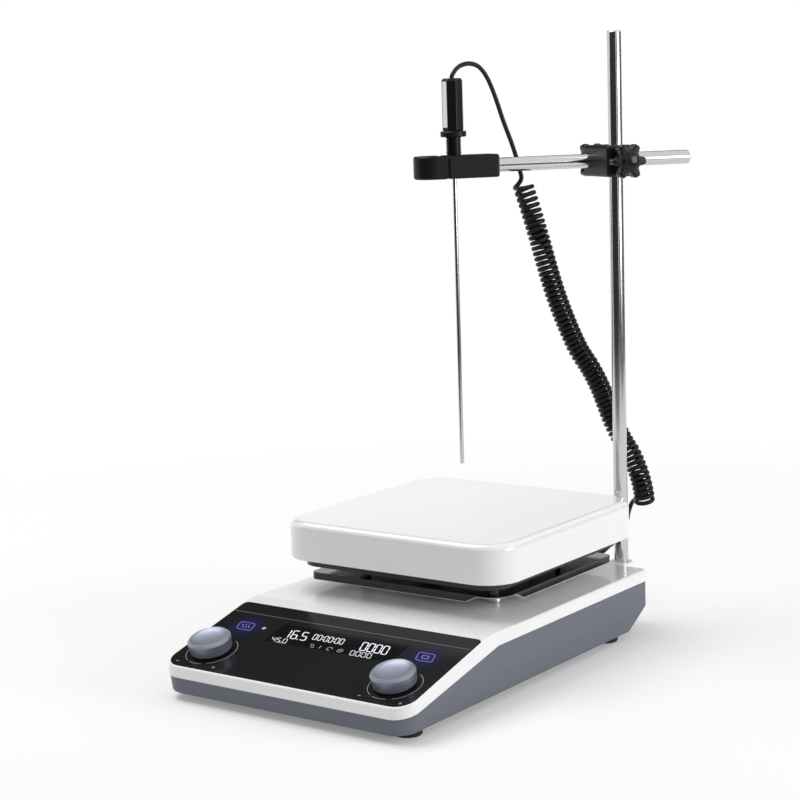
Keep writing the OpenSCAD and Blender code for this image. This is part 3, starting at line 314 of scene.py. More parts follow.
def rounded_block(name, low, high, front, rear, steps=10):
    """A block with round upright corners."""
    piece = block(name, low, high)
    split = (low[1] + high[1]) / 2
    enter(piece)
    round_edges(lambda e: climbs(e) and middle(e).y < split, front, steps)
    round_edges(lambda e: climbs(e) and middle(e).y > high[1] - NEAR, rear, steps)
    leave()
    return piece


def turned(name, profile, sides=64):
    """A disc that is extruded and resized along a profile of radii and heights."""
    radius, height = profile[0]
    bpy.ops.object.select_all(action="DESELECT")
    bpy.ops.mesh.primitive_circle_add(vertices=sides, radius=radius * MM, fill_type="NGON",
                                      location=(0, 0, height * MM))
    piece = bpy.context.object
    piece.name = name
    bpy.ops.object.transform_apply(location=True, rotation=True, scale=True)
    enter(piece)
    for next_radius, next_height in profile[1:]:
        rise = (0, 0, (next_height - height) * MM)
        bpy.ops.mesh.extrude_region_move(TRANSFORM_OT_translate={"value": rise})
        factor = next_radius / radius
        bpy.ops.transform.resize(value=(factor, factor, 1), center_override=(0, 0, next_height * MM))
        radius, height = next_radius, next_height
    bpy.ops.mesh.select_all(action="SELECT")
    bpy.ops.mesh.normals_make_consistent(inside=False)
    leave()
    return piece


def repeated(rows, start, pitch, count):
    """A stretch of a turned profile, repeated along its axis."""
    return [(radius, start + pitch * k + rise) for k in range(count) for radius, rise in rows]


def pin(name, radius, low, high, place, sides):
    """A plain pin between two heights, at a place: what round holes are cut with."""
    return settle(turned(name, [(radius, low), (radius, high)], sides), place)


def rod(name, radius, length, chamfer=1.0, sides=48):
    """A turned rod along Z with both ends chamfered."""
    return turned(name, [(radius - chamfer, 0), (radius, chamfer), (radius, length - chamfer),
                         (radius - chamfer, length)], sides)


def apply_modifier(piece, kind, **values):
    """Adds a modifier, sets it and applies it."""
    modifier = piece.modifiers.new(kind.title(), kind)
    for key, value in values.items():
        setattr(modifier, key, value)
    only(piece)
    bpy.ops.object.modifier_apply(modifier=modifier.name)


def carve(piece, *cutters, **extra):
    """Cuts pieces out of a piece and takes the cutters away."""
    for cutter in cutters:
        apply_modifier(piece, "BOOLEAN", operation="DIFFERENCE", solver="EXACT", object=cutter, **extra)
        bpy.data.objects.remove(cutter, do_unlink=True)


def soften(piece, width, steps=2, angle=35):
    """Rounds every edge that is sharper than an angle."""
    apply_modifier(piece, "BEVEL", width=width * MM, segments=steps, limit_method="ANGLE",
                   angle_limit=math.radians(angle))


def copy_of(piece, place):
    """A copy with its own mesh, moved to a place."""
    twin = bpy.data.objects.new(piece.name, piece.data.copy())
    bpy.context.scene.collection.objects.link(twin)
    return settle(twin, place)


def join(pieces):
    """Joins pieces into the first one."""
    bpy.ops.object.select_all(action="DESELECT")
    for piece in pieces:
        piece.select_set(True)
    bpy.context.view_layer.objects.active = pieces[0]
    bpy.ops.object.join()
    return pieces[0]


def softened(node, width, steps=2):
    """A merged copy of a solid of the frame with its edges rounded."""
    piece = bpy.data.objects.new(node + "_softened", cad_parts[node].data.copy())
    bpy.context.scene.collection.objects.link(piece)
    enter(piece)
    bpy.ops.mesh.remove_doubles(threshold=WELD)
    bpy.ops.mesh.dissolve_limited(angle_limit=math.radians(FLAT_ANGLE))
    leave()
    soften(piece, width, steps)
    return piece


def flat(name, outlines, low, high, place=None):
    """A thin plate with filled outlines, on the panel or at another place."""
    drawing = bpy.data.curves.new(name, "CURVE")
    drawing.dimensions = "2D"
    drawing.fill_mode = "BOTH"
    drawing.extrude = (high - low) / 2 * MM
    for outline in outlines:
        spline = drawing.splines.new("POLY")
        spline.points.add(len(outline) - 1)
        for point, (x, y) in zip(spline.points, outline):
            point.co = (x * MM, y * MM, 0, 1)
        spline.use_cyclic_u = True
    piece = bpy.data.objects.new(name, drawing)
    bpy.context.scene.collection.objects.link(piece)
    only(piece)
    bpy.ops.object.convert(target="MESH")
    return settle(bpy.context.object, (place or on_panel()) @ at(0, 0, (low + high) / 2))


def tube(name, centres, radius):
    """A round cord through a list of points, in millimetres."""
    drawing = bpy.data.curves.new(name, "CURVE")
    drawing.dimensions = "3D"
    drawing.bevel_depth = radius * MM
    drawing.bevel_resolution = CORD_SIDES // 4 - 1
    drawing.use_fill_caps = True
    spline = drawing.splines.new("POLY")
    spline.points.add(len(centres) - 1)
    for point, centre in zip(spline.points, centres):
        point.co = (*(centre * MM), 1)
    piece = bpy.data.objects.new(name, drawing)
    bpy.context.scene.collection.objects.link(piece)
    only(piece)
    bpy.ops.object.convert(target="MESH")
    return bpy.context.object


def dress(piece, body, slot, *nodes, finish=None, smooth=35, weigh=True):
    """Smooths a piece, gives it its finish and lets it ride on its body."""
    only(piece)
    bpy.ops.object.shade_smooth_by_angle(angle=math.radians(smooth))
    if weigh:
        apply_modifier(piece, "WEIGHTED_NORMAL", keep_sharp=True)
    piece.data.materials.clear()
    piece.data.materials.append(finish_of(finish or slot))
    if body:
        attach(piece, body)
    if nodes:
        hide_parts(*nodes)
    return piece


# Finishes

# Detail of the fine and the broad noise, the gloss of a clear coat and the least roughness
FINE_DETAIL = 3.0
BROAD_DETAIL = 2.0
COAT_ROUGHNESS = 0.08
LEAST_ROUGHNESS = 0.02


def shade(value, factor):
    """A colour made lighter or darker."""
    return (*[min(1, v * factor) for v in value], 1)


def noise_node(tree, vector, scale, detail):
    """A noise texture on a vector."""
    noise = tree.nodes.new("ShaderNodeTexNoise")
    noise.inputs["Scale"].default_value = scale
    noise.inputs["Detail"].default_value = detail
    tree.links.new(vector, noise.inputs["Vector"])
    return noise.outputs["Fac"]


def mixed(tree, factor, first, second):
    """A mix of two colours, each a value or a socket."""
    mix = tree.nodes.new("ShaderNodeMix")
    mix.data_type = "RGBA"
    tree.links.new(factor, mix.inputs[0])
    for slot, value in ((6, first), (7, second)):
        if isinstance(value, bpy.types.NodeSocket):
            tree.links.new(value, mix.inputs[slot])
        else:
            mix.inputs[slot].default_value = value
    return mix.outputs[2]


def ranged(tree, value, low, high, start=0.3, stop=0.7):
    """A value mapped to a range."""
    node = tree.nodes.new("ShaderNodeMapRange")
    node.inputs["From Min"].default_value = start
    node.inputs["From Max"].default_value = stop
    node.inputs["To Min"].default_value = low
    node.inputs["To Max"].default_value = high
    tree.links.new(value, node.inputs["Value"])
    return node.outputs["Result"]


def math_node(tree, operation, first, second=0.0):
    """A sum on two values, each a number or a socket."""
    node = tree.nodes.new("ShaderNodeMath")
    node.operation = operation
    for slot, value in enumerate((first, second)):
        if isinstance(value, bpy.types.NodeSocket):
            tree.links.new(value, node.inputs[slot])
        else:
            node.inputs[slot].default_value = value
    return node.outputs["Value"]


def place_node(tree, stretch=(1, 1, 1), spin=0.0):
    """Object coordinates, turned about Z and stretched."""
    place = tree.nodes.new("ShaderNodeTexCoord")
    mapping = tree.nodes.new("ShaderNodeMapping")
    mapping.vector_type = "TEXTURE"
    mapping.inputs["Rotation"].default_value = (0, 0, spin)
    mapping.inputs["Scale"].default_value = [1 / v for v in stretch]
    tree.links.new(place.outputs["Object"], mapping.inputs["Vector"])
    return mapping.outputs["Vector"]


def surface(name, tone, rough, metal=0.0, coat=0.0, grain=900.0, stretch=(1, 1, 1), spin=0.0, tint=0.05,
            uneven=0.06, relief=0.05, depth=0.1, cloud=18.0, specular=0.5):
    """A finish with broad tint, fine grain in its gloss and a low relief."""
    material = bpy.data.materials.new(name)
    material.use_nodes = True
    tree = material.node_tree
    shader = tree.nodes["Principled BSDF"]
    shader.inputs["Metallic"].default_value = metal
    shader.inputs["Coat Weight"].default_value = coat
    shader.inputs["Coat Roughness"].default_value = COAT_ROUGHNESS
    shader.inputs["Specular IOR Level"].default_value = specular
    vector = place_node(tree, stretch, spin)
    fine = noise_node(tree, vector, grain, FINE_DETAIL)
    broad = noise_node(tree, vector, cloud, BROAD_DETAIL)
    tinted = mixed(tree, broad, shade(tone, 1 - tint), shade(tone, 1 + tint))
    tree.links.new(tinted, shader.inputs["Base Color"])
    gloss = ranged(tree, fine, max(LEAST_ROUGHNESS, rough - uneven), rough + uneven)
    tree.links.new(gloss, shader.inputs["Roughness"])
    bump = tree.nodes.new("ShaderNodeBump")
    bump.inputs["Strength"].default_value = relief
    bump.inputs["Distance"].default_value = depth * MM
    tree.links.new(fine, bump.inputs["Height"])
    tree.links.new(bump.outputs["Normal"], shader.inputs["Normal"])
    return material


def glowing(name, tone, strength):
    """A lit print with a fine dot grain."""
    material = surface(name, tone, 0.4, grain=4000.0, tint=0.04, relief=0.02)
    shader = material.node_tree.nodes["Principled BSDF"]
    shader.inputs["Emission Color"].default_value = (*tone, 1)
    shader.inputs["Emission Strength"].default_value = strength
    return material


# Middle of a key, across and up the panel
KEY_X = 73.3
KEY_V = 58.8
# Glow around a key: its blue, the distances in metres between which it fades, its fall and its strength
GLOW_BLUE = (0.04, 0.04, 0.55, 1)
GLOW_NEAR = 0.004
GLOW_FAR = 0.017
GLOW_FALL = 1.6
GLOW_STRENGTH = 0.11


def panel_film(name):
    """Black film of the control panel, with the soft glow around each key."""
    material = surface(name, colours().panel, 0.16, grain=2500.0, tint=0.12, relief=0.015,
                       uneven=0.04, specular=0.12)
    tree = material.node_tree
    shader = tree.nodes["Principled BSDF"]
    place = tree.nodes.new("ShaderNodeTexCoord")
    glows = []
    for side in (-1, 1):
        centre = on_panel() @ Vector((side * KEY_X * MM, KEY_V * MM, 0))
        distance = tree.nodes.new("ShaderNodeVectorMath")
        distance.operation = "DISTANCE"
        tree.links.new(place.outputs["Object"], distance.inputs[0])
        distance.inputs[1].default_value = centre
        glows.append(ranged(tree, distance.outputs["Value"], 1.0, 0.0, GLOW_NEAR, GLOW_FAR))
    glow = math_node(tree, "MAXIMUM", glows[0], glows[1])
    soft = math_node(tree, "POWER", glow, GLOW_FALL)
    strength = math_node(tree, "MULTIPLY", soft, GLOW_STRENGTH)
    shader.inputs["Emission Color"].default_value = GLOW_BLUE
    tree.links.new(strength, shader.inputs["Emission Strength"])
    return material


# Shield: its dark tone, a painted dark reflection of dark surroundings, the tone of the painted highlight on
# its hem and on faces that look down and how metallic that is, the band in metres above its rim that gets the
# painted highlight, and how far down a face looks to get it
SHIELD_PAINTED_DARK = (0.05, 0.05, 0.05)
PAINTED_HIGHLIGHT_TONE = (0.80, 0.79, 0.77, 1)
PAINTED_HIGHLIGHT_METAL = 0.25
PAINTED_HIGHLIGHT_BAND = (0.00035, 0.00055)
LOOKS_DOWN = (-0.35, -0.1)


def shield_sheet(name):
    """Polished sheet with a painted dark reflection, and a painted highlight on its hem and on faces that
    look down.
    """
    material = surface(name, SHIELD_PAINTED_DARK, 0.10, metal=1.0, grain=420.0, stretch=(1, 24, 24), tint=0.06,
                       relief=0.03, uneven=0.03)
    tree = material.node_tree
    shader = tree.nodes["Principled BSDF"]
    facing = tree.nodes.new("ShaderNodeNewGeometry")
    split = tree.nodes.new("ShaderNodeSeparateXYZ")
    tree.links.new(facing.outputs["True Normal"], split.inputs[0])
    place = tree.nodes.new("ShaderNodeTexCoord")
    height = tree.nodes.new("ShaderNodeSeparateXYZ")
    tree.links.new(place.outputs["Object"], height.inputs[0])
    rim = shield_low[2] * MM
    # painted highlight: a bright, less metallic colour in a thin band just above the rim and on faces that
    # look down
    hem = ranged(tree, height.outputs["Z"], 1.0, 0.0, rim + PAINTED_HIGHLIGHT_BAND[0], rim + PAINTED_HIGHLIGHT_BAND[1])
    edge = math_node(tree, "MAXIMUM", ranged(tree, split.outputs["Z"], 1.0, 0.0, *LOOKS_DOWN), hem)
    tree.links.new(ranged(tree, edge, 1.0, PAINTED_HIGHLIGHT_METAL, 0.0, 1.0), shader.inputs["Metallic"])
    dark = shader.inputs["Base Color"].links[0].from_socket
    tree.links.new(mixed(tree, edge, dark, PAINTED_HIGHLIGHT_TONE), shader.inputs["Base Color"])
    return material


def circuit_board(name):
    """Green solder mask with paler tracks and pads."""
    material = surface(name, (0.012, 0.09, 0.035), 0.35, grain=1200.0)
    tree = material.node_tree
    shader = tree.nodes["Principled BSDF"]
    tracks = tree.nodes.new("ShaderNodeTexBrick")
    tracks.inputs["Scale"].default_value = 90.0
    tracks.inputs["Mortar Size"].default_value = 0.06
    tracks.inputs["Color1"].default_value = (0.012, 0.085, 0.03, 1)
    tracks.inputs["Color2"].default_value = (0.010, 0.070, 0.028, 1)
    tracks.inputs["Mortar"].default_value = (0.05, 0.22, 0.09, 1)
    tree.links.new(place_node(tree), tracks.inputs["Vector"])
    tree.links.new(tracks.outputs["Color"], shader.inputs["Base Color"])
    return material


def plain_finishes():
    """Values of the finishes that have no pattern of their own."""
    tone = colours()
    rod_look = dict(tone=tone.steel, rough=0.13, metal=1.0, grain=500.0, tint=0.02, relief=0.006, uneven=0.03)
    return {
        "cover_white": dict(tone=tone.cover, rough=0.30, grain=1400.0, tint=0.012, relief=0.04, coat=0.2),
        "base_grey": dict(tone=tone.base, rough=0.42, grain=2200.0, tint=0.05, relief=0.12, cloud=30.0,
                          specular=0.35),
        "foot_rubber": dict(tone=(0.012, 0.012, 0.013), rough=0.75, grain=1800.0, tint=0.2, relief=0.3),
        "post_steel": dict(tone=(0.80, 0.80, 0.80), rough=0.22, metal=1.0, grain=2600.0, relief=0.06),
        "screw_steel": dict(tone=(0.55, 0.55, 0.56), rough=0.28, metal=1.0, grain=2600.0, relief=0.1),
        "rear_grey": dict(tone=(0.06, 0.065, 0.075), rough=0.5, grain=2400.0, tint=0.08, relief=0.2),
        "black_plastic": dict(tone=tone.plastic, rough=0.36, grain=2600.0, tint=0.15, relief=0.14,
                              specular=0.15),
        "gloss_plastic": dict(tone=tone.plastic, rough=0.15, grain=1500.0, tint=0.12, relief=0.03,
                              specular=0.22),
        "contact_metal": dict(tone=(0.72, 0.68, 0.60), rough=0.25, metal=1.0, grain=2000.0, relief=0.08),
        "display_dark": dict(tone=(0.007, 0.007, 0.008), rough=0.10, grain=3000.0, tint=0.2, relief=0.01,
                             uneven=0.03, specular=0.1),
        "panel_print": dict(tone=(0.42, 0.43, 0.43), rough=0.5, grain=3500.0, tint=0.08, relief=0.05),
        "hairline_print": dict(tone=(0.16, 0.18, 0.15), rough=0.4, grain=3500.0, tint=0.1, relief=0.05),
        "lens_white": dict(tone=(0.55, 0.56, 0.57), rough=0.2, grain=3000.0, tint=0.05, relief=0.02),
        "electronics": dict(tone=(0.30, 0.17, 0.03), rough=0.45, grain=900.0, tint=0.5, cloud=60.0,
                            relief=0.1),
        "knob_grey": dict(tone=tone.knob, rough=0.40, metal=0.72, grain=2600.0, tint=0.06, relief=0.08),
        "natural_plastic": dict(tone=(0.66, 0.60, 0.48), rough=0.45, grain=1500.0, tint=0.06, relief=0.1),
        "motor_steel": dict(tone=(0.58, 0.58, 0.57), rough=0.32, metal=1.0, grain=500.0, stretch=(1, 1, 30),
                            relief=0.12),
        "magnet": dict(tone=(0.50, 0.50, 0.51), rough=0.18, metal=1.0, grain=1500.0, relief=0.05),
        "plate_white": dict(tone=tone.plate, rough=0.22, grain=700.0, tint=0.010, relief=0.05, coat=0.5,
                            uneven=0.04),
        "heater_metal": dict(tone=(0.30, 0.19, 0.12), rough=0.5, metal=0.6, grain=600.0, tint=0.25,
                             relief=0.2),
        "insulation": dict(tone=(0.66, 0.62, 0.52), rough=0.9, grain=350.0, stretch=(1, 6, 1), tint=0.18,
                           relief=0.6, depth=0.5),
        "sheet_steel": dict(tone=(0.50, 0.49, 0.48), rough=0.16, metal=1.0, grain=420.0,
                            stretch=(1, 24, 24), tint=0.06, relief=0.04),
        # the pan's near-black tone is painted shade for the dark space under the hotplate
        "pan_steel": dict(tone=(0.05, 0.05, 0.05), rough=0.32, metal=1.0, grain=700.0, tint=0.08,
                          relief=0.05),
        "strip_silver": dict(tone=(0.70, 0.70, 0.71), rough=0.30, metal=0.9, grain=900.0,
                             stretch=(12, 12, 0.5), tint=0.03, relief=0.05),
        "bracket_white": dict(tone=tone.cover, rough=0.38, grain=1800.0, tint=0.015, relief=0.12),
        "rod_steel": dict(rod_look, stretch=(14, 14, 0.4)),
        "arm_steel": dict(rod_look, stretch=(0.4, 14, 14), spin=sizes().arm_yaw),
        "pad_brass": dict(tone=(0.60, 0.42, 0.16), rough=0.3, metal=1.0, grain=1600.0, relief=0.08),
        "cord_black": dict(tone=(0.008, 0.008, 0.009), rough=0.32, grain=1800.0, tint=0.15, relief=0.12,
                           specular=0.2),
    }


def finish_of(name):
    """The finish of that name, made on its first use."""
    title = "finish_" + name
    ready = bpy.data.materials.get(title)
    if ready:
        return ready
    patterned = {"overlay_black": panel_film, "board_green": circuit_board, "shield_steel": shield_sheet}
    lit = {
        "display_lit": dict(tone=(0.80, 0.83, 0.87), strength=0.35),
        "display_dim": dict(tone=(0.35, 0.36, 0.38), strength=0.15),
        "key_blue": dict(tone=colours().key_light, strength=0.22),
    }
    if name in patterned:
        return patterned[name](title)
    if name in lit:
        return glowing(title, **lit[name])
    return surface(title, **plain_finishes()[name])


# Stage

CAMERA_PLACE = (0.75715, -1.07798, 0.37875)
CAMERA_YAW = 36.37
CAMERA_PITCH = -8.70
CAMERA_ROLL = 1.82
CAMERA_LENS = 87.27
SENSOR_WIDTH = 36
# Light that the white surroundings give to the object
WORLD_LIGHT = 0.52
# Floor: its width in metres, its tone, its own faint light and the distances over which it fades to white
FLOOR_WIDTH = 12
FLOOR_TONE = (0.75, 0.75, 0.75, 1)
FLOOR_LIFT = 0.22
FLOOR_FADE = (0.35, 0.85)


def see_through_rays(tree):
    """One for rays from the camera, in gloss or through glass, otherwise nought."""
    paths = tree.nodes.new("ShaderNodeLightPath")
    seen = math_node(tree, "MAXIMUM", paths.outputs["Is Camera Ray"], paths.outputs["Is Glossy Ray"])
    return math_node(tree, "MAXIMUM", seen, paths.outputs["Is Transmission Ray"])


def lamp(name, place, aim, width, height, power):
    """A soft lamp aimed at a point, in metres and watts."""
    light = bpy.data.lights.new(name, "AREA")
    light.shape = "RECTANGLE"
    light.size = width
    light.size_y = height
    light.energy = power
    holder = bpy.data.objects.new(name, light)
    bpy.context.scene.collection.objects.link(holder)
    holder.location = place
    holder.rotation_euler = (Vector(aim) - Vector(place)).to_track_quat("-Z", "Y").to_euler()


def dark_card(name, place, width, height, facing, tone=0.03, tilt=90):
    """A card that only shows as a dark stripe in polished metal."""
    bpy.ops.object.select_all(action="DESELECT")
    bpy.ops.mesh.primitive_plane_add(size=1)
    card = bpy.context.object
    card.name = name
    card.scale = (width, height, 1)
    card.rotation_euler = (math.radians(tilt), 0, math.radians(facing))
    card.location = place
    bpy.ops.object.transform_apply(location=True, rotation=True, scale=True)
    card.visible_camera = False
    card.visible_diffuse = False
    card.visible_transmission = False
    card.visible_shadow = False
    material = bpy.data.materials.new(name)
    material.use_nodes = True
    shader = material.node_tree.nodes["Principled BSDF"]
    shader.inputs["Base Color"].default_value = (tone, tone, tone, 1)
    shader.inputs["Roughness"].default_value = 1.0
    card.data.materials.append(material)


def pale_floor():
    """Pale floor that keeps the shadow near the object and fades to white."""
    material = bpy.data.materials.new("studio_floor")
    material.use_nodes = True
    tree = material.node_tree
    tree.nodes.clear()
    output = tree.nodes.new("ShaderNodeOutputMaterial")
    matte = tree.nodes.new("ShaderNodeBsdfDiffuse")
    matte.inputs["Color"].default_value = FLOOR_TONE
    lit = tree.nodes.new("ShaderNodeEmission")
    lift = tree.nodes.new("ShaderNodeEmission")
    near = tree.nodes.new("ShaderNodeAddShader")
    tree.links.new(matte.outputs[0], near.inputs[0])
    tree.links.new(lift.outputs[0], near.inputs[1])
    place = tree.nodes.new("ShaderNodeTexCoord")
    far = tree.nodes.new("ShaderNodeVectorMath")
    far.operation = "LENGTH"
    tree.links.new(place.outputs["Object"], far.inputs[0])
    fade = ranged(tree, far.outputs["Value"], 0.0, 1.0, *FLOOR_FADE)
    seen = see_through_rays(tree)
    share = math_node(tree, "MULTIPLY", fade, seen)
    tree.links.new(math_node(tree, "MULTIPLY", seen, FLOOR_LIFT), lift.inputs["Strength"])
    blend = tree.nodes.new("ShaderNodeMixShader")
    tree.links.new(share, blend.inputs[0])
    tree.links.new(near.outputs[0], blend.inputs[1])
    tree.links.new(lit.outputs[0], blend.inputs[2])
    tree.links.new(blend.outputs[0], output.inputs["Surface"])
    return material


def photo_camera(scene):
    """Sets up the camera where the photo was taken from."""
    yaw = math.radians(CAMERA_YAW)
    pitch = math.radians(CAMERA_PITCH)
    roll = math.radians(CAMERA_ROLL)
    forward = Vector((-math.sin(yaw) * math.cos(pitch), math.cos(yaw) * math.cos(pitch), math.sin(pitch)))
    right = Vector((math.cos(yaw), math.sin(yaw), 0))
    up = right.cross(forward)
    image_right = math.cos(roll) * right - math.sin(roll) * up
    image_up = math.sin(roll) * right + math.cos(roll) * up
    view = bpy.data.cameras.new("photo_camera")
    view.lens = CAMERA_LENS
    view.sensor_width = SENSOR_WIDTH
    camera = bpy.data.objects.new("photo_camera", view)
    scene.collection.objects.link(camera)
    facing = Matrix((image_right, image_up, -forward)).transposed().to_4x4()
    camera.matrix_world = Matrix.Translation(CAMERA_PLACE) @ facing
    scene.camera = camera


def white_world(scene):
    """White surroundings that light the object less than they show."""
    world = bpy.data.worlds.new("studio")
    scene.world = world
    world.use_nodes = True
    tree = world.node_tree
    background = tree.nodes["Background"]
    background.inputs["Color"].default_value = (1, 1, 1, 1)
    strength = ranged(tree, see_through_rays(tree), WORLD_LIGHT, 1.0, 0.0, 1.0)
    tree.links.new(strength, background.inputs["Strength"])


class STIRRER_OT_stage(bpy.types.Operator):
    """Sets the camera, the pale floor, the studio lamps and the white surroundings"""

    bl_idname = "stirrer.stage"
    bl_label = "Stage"

    def execute(self, context):
        scene = context.scene
        photo_camera(scene)
        scene.view_settings.view_transform = "Standard"
        white_world(scene)
        bpy.ops.object.select_all(action="DESELECT")
        bpy.ops.mesh.primitive_plane_add(size=FLOOR_WIDTH, location=(0, 0, 0))
        floor = context.object
        floor.name = "studio_floor"
        floor.data.materials.append(pale_floor())
        lamp("side_lamp", place=(1.6, 0.35, 0.45), aim=(0, 0, 0.1), width=0.9, height=0.6, power=12)
        lamp("top_lamp", place=(-0.8, -0.15, 1.8), aim=(0, 0, 0.05), width=1.2, height=1.2, power=19)
        dark_card("front_card", place=(0.25, -1.15, 0.35), width=3.1, height=0.7, facing=0)
        dark_card("rear_card", place=(-0.95, 1.0, 0.95), width=2.2, height=0.9, facing=43)
        dark_card("edge_card", place=(0.9, 1.2, 0.4), width=1.8, height=0.8, facing=-40, tone=0.2)
        dark_card("low_card", place=(1.2, 0.0, 0.05), width=2.2, height=0.1, facing=90)
        dark_card("arm_card", place=(1.21, -0.21, 0.25), width=0.4, height=0.5, facing=90, tone=0.05)
        dark_card("floor_card", place=(0.25, -0.92, 0.002), width=3.1, height=0.46, facing=0, tone=0.2,
                  tilt=0)
        return {"FINISHED"}


# Lead of the probe, in millimetres

TOP_POINTS = [
    (-9.2, 36.7, 398.3), (-8.1, 38.9, 401), (-6.4, 42.3, 403.2), (-4, 47, 404.2), (-1.6, 51.6, 403.4),
    (0.6, 56, 400.5), (3, 61, 393), (5, 67, 380), (7, 73, 364), (9, 79, 350), (10.6, 82.8, 339),
    (11.6, 84.4, 332),
]
COIL_POINTS = [
    (11.6, 84.4, 332), (12.6, 86, 325), (14.1, 87.1, 317), (19, 89, 299), (23, 92, 280), (26.5, 96, 260),
    (30, 101, 240), (34.5, 107, 220), (40, 114, 200), (46, 121, 185), (50.5, 127, 170), (53.5, 131.5, 156),
    (57, 135, 143), (62, 138, 131), (67.5, 141, 120), (72, 143, 107), (74.2, 145, 95), (74.6, 146.4, 86),
    (73.4, 147.6, 78.5),
]
LEAD_POINTS = [
    (66.1, 149.1, 85.7), (63, 152.7, 84.5), (59, 155.1, 80.8), (56, 155.9, 74.1), (53.6, 157.4, 67),
    (48.6, 160.2, 59.4), (41, 163.8, 51.4), (32.6, 167.4, 43.4),
]
# First step out of the handle, and the turn into the plug, from the middle of the plug's rear end
EXIT_RISE = (0, 0, 1.4)
PLUG_TURN = [(9.6, 20.4, 4.9), (4.4, 18.4, 1.5), (0.9, 13.5, 0.1), (0, 6.6, 0), (0, 0, 0)]
# Straight end above the curls and its steps, how much looser the first curls are and over what length they
# draw together, and the share of the last curl that is left off, so that the lead leaves it at its left
TOP_END = 6.0
TOP_END_STEPS = 2
LOOSE_SHARE = 0.22
LOOSE_LEN = 20.0
LAST_CURL = 0.8
# Side of the coil at which the drop comes in, the radius of its bend into the first curl and the height
# over which the coil's middle moves from beside the drop to the route
ENTRY_SIDE = (0.593, -0.805, 0)
ENTRY_BEND = 8.0
ENTRY_STEPS = 10
ENTRY_FADE = 60.0
# Points made for each step of a plain stretch, for each curl and along the coil's middle, and the point from
# which the drop begins to follow the boss head
PLAIN_STEPS = 3
CURL_STEPS = 24
SPINE_STEPS = 400
DROP_START = 27
# Plug: radii and distances from the panel's face, and the grooves around its grip and its neck
PLUG_STAND = 3
PLUG_NOSE = [(5, -7), (5.15, -6.6), (5.15, 0), (6.6, 0), (7.2, 0.6), (7.2, 12)]
PLUG_NECK = [(7.2, 29), (6.6, 31), (5.2, 33), (3.6, 34), (3.0, 34.6)]
PLUG_TIP = [(2.9, 40)]
GRIP_GROOVE = [(7.2, 0), (6.7, 0.5), (6.7, 1.3), (7.2, 1.8)]
NECK_GROOVE = [(3.0, 0), (2.5, 0.3), (2.5, 0.9), (3.0, 1.2)]


def along(points, u):
    """Point on a smooth curve through points, at u from nought to the last index."""
    i = min(int(u), len(points) - 2)
    t = u - i
    b, c = points[i], points[i + 1]
    a = points[i - 1] if i > 0 else 2 * b - c
    d = points[i + 2] if i + 2 < len(points) else 2 * c - b
    return (b + 0.5 * t * (c - a) + t * t * (a - 2.5 * b + 2 * c - 0.5 * d)
            + t * t * t * (1.5 * (b - c) + 0.5 * (d - a)))


def heading(points, u):
    """Direction of that curve."""
    last = len(points) - 1
    step = 0.01
    if u <= 0:
        return (points[1] - points[0]).normalized()
    if u >= last:
        return (points[last] - points[last - 1]).normalized()
    return (along(points, min(last, u + step)) - along(points, max(0, u - step))).normalized()


def eased(t):
    """A smooth step from nought to one."""
    t = min(1, max(0, t))
    return t * t * (3 - 2 * t)


def plain_route(points):
    """Points along a plain stretch."""
    count = PLAIN_STEPS * (len(points) - 1)
    return [along(points, i / PLAIN_STEPS) for i in range(count + 1)]


def gathered(s):
    """Length of even curls that the winding equals at a distance down the coil, which is loose at first."""
    return s - LOOSE_SHARE * LOOSE_LEN * (1 - math.exp(-s / LOOSE_LEN))


def curly_route(points):
    """Points along the curls around a route: a straight end, a bend into loose curls and then close ones."""
    curl_r = sizes().curl_radius / MM
    curls = sizes().curls
    side_in = Vector(ENTRY_SIDE)
    top = points[0].z
    axis = [p - curl_r * side_in * (1 - eased((top - p.z) / ENTRY_FADE)) for p in points]
    last = len(axis) - 1
    spine = [along(axis, i * last / SPINE_STEPS) for i in range(SPINE_STEPS + 1)]
    reach = [0.0]
    for first, second in zip(spine, spine[1:]):
        reach.append(reach[-1] + (second - first).length)
    curl_len = reach[-1] - TOP_END - ENTRY_BEND - 2 * sizes().cord_radius / MM
    whole_turn = 2 * math.pi
    density = whole_turn * curls / gathered(curl_len)
    steepest = math.atan(curl_r * density * (1 - LOOSE_SHARE))
    bends = [steepest * i / ENTRY_STEPS for i in range(1, ENTRY_STEPS + 1)]
    places = [(TOP_END * i / TOP_END_STEPS, 0.0) for i in range(TOP_END_STEPS + 1)]
    places += [(TOP_END + ENTRY_BEND * math.sin(b), ENTRY_BEND * (1 - math.cos(b)) / curl_r) for b in bends]
    start, start_angle = places[-1]
    count = curls * CURL_STEPS
    steps = [curl_len * i / count for i in range(1, count + 1)]
    places += [(start + s, start_angle + density * gathered(s)) for s in steps]
    route = []
    k = 0
    phase = None
    for s, angle in places:
        while k < SPINE_STEPS - 1 and reach[k + 1] < s:
            k += 1
        u = (k + (s - reach[k]) / (reach[k + 1] - reach[k])) * last / SPINE_STEPS
        forward = heading(axis, u)
        side = forward.cross(Vector((1, 0, 0))).normalized()
        across = forward.cross(side)
        if phase is None:
            phase = math.atan2(side_in.dot(across), side_in.dot(side))
        if phase + angle > whole_turn * (curls - LAST_CURL):
            break
        out = math.cos(phase + angle) * side + math.sin(phase + angle) * across
        route.append(along(axis, u) + curl_r * out)
    return route


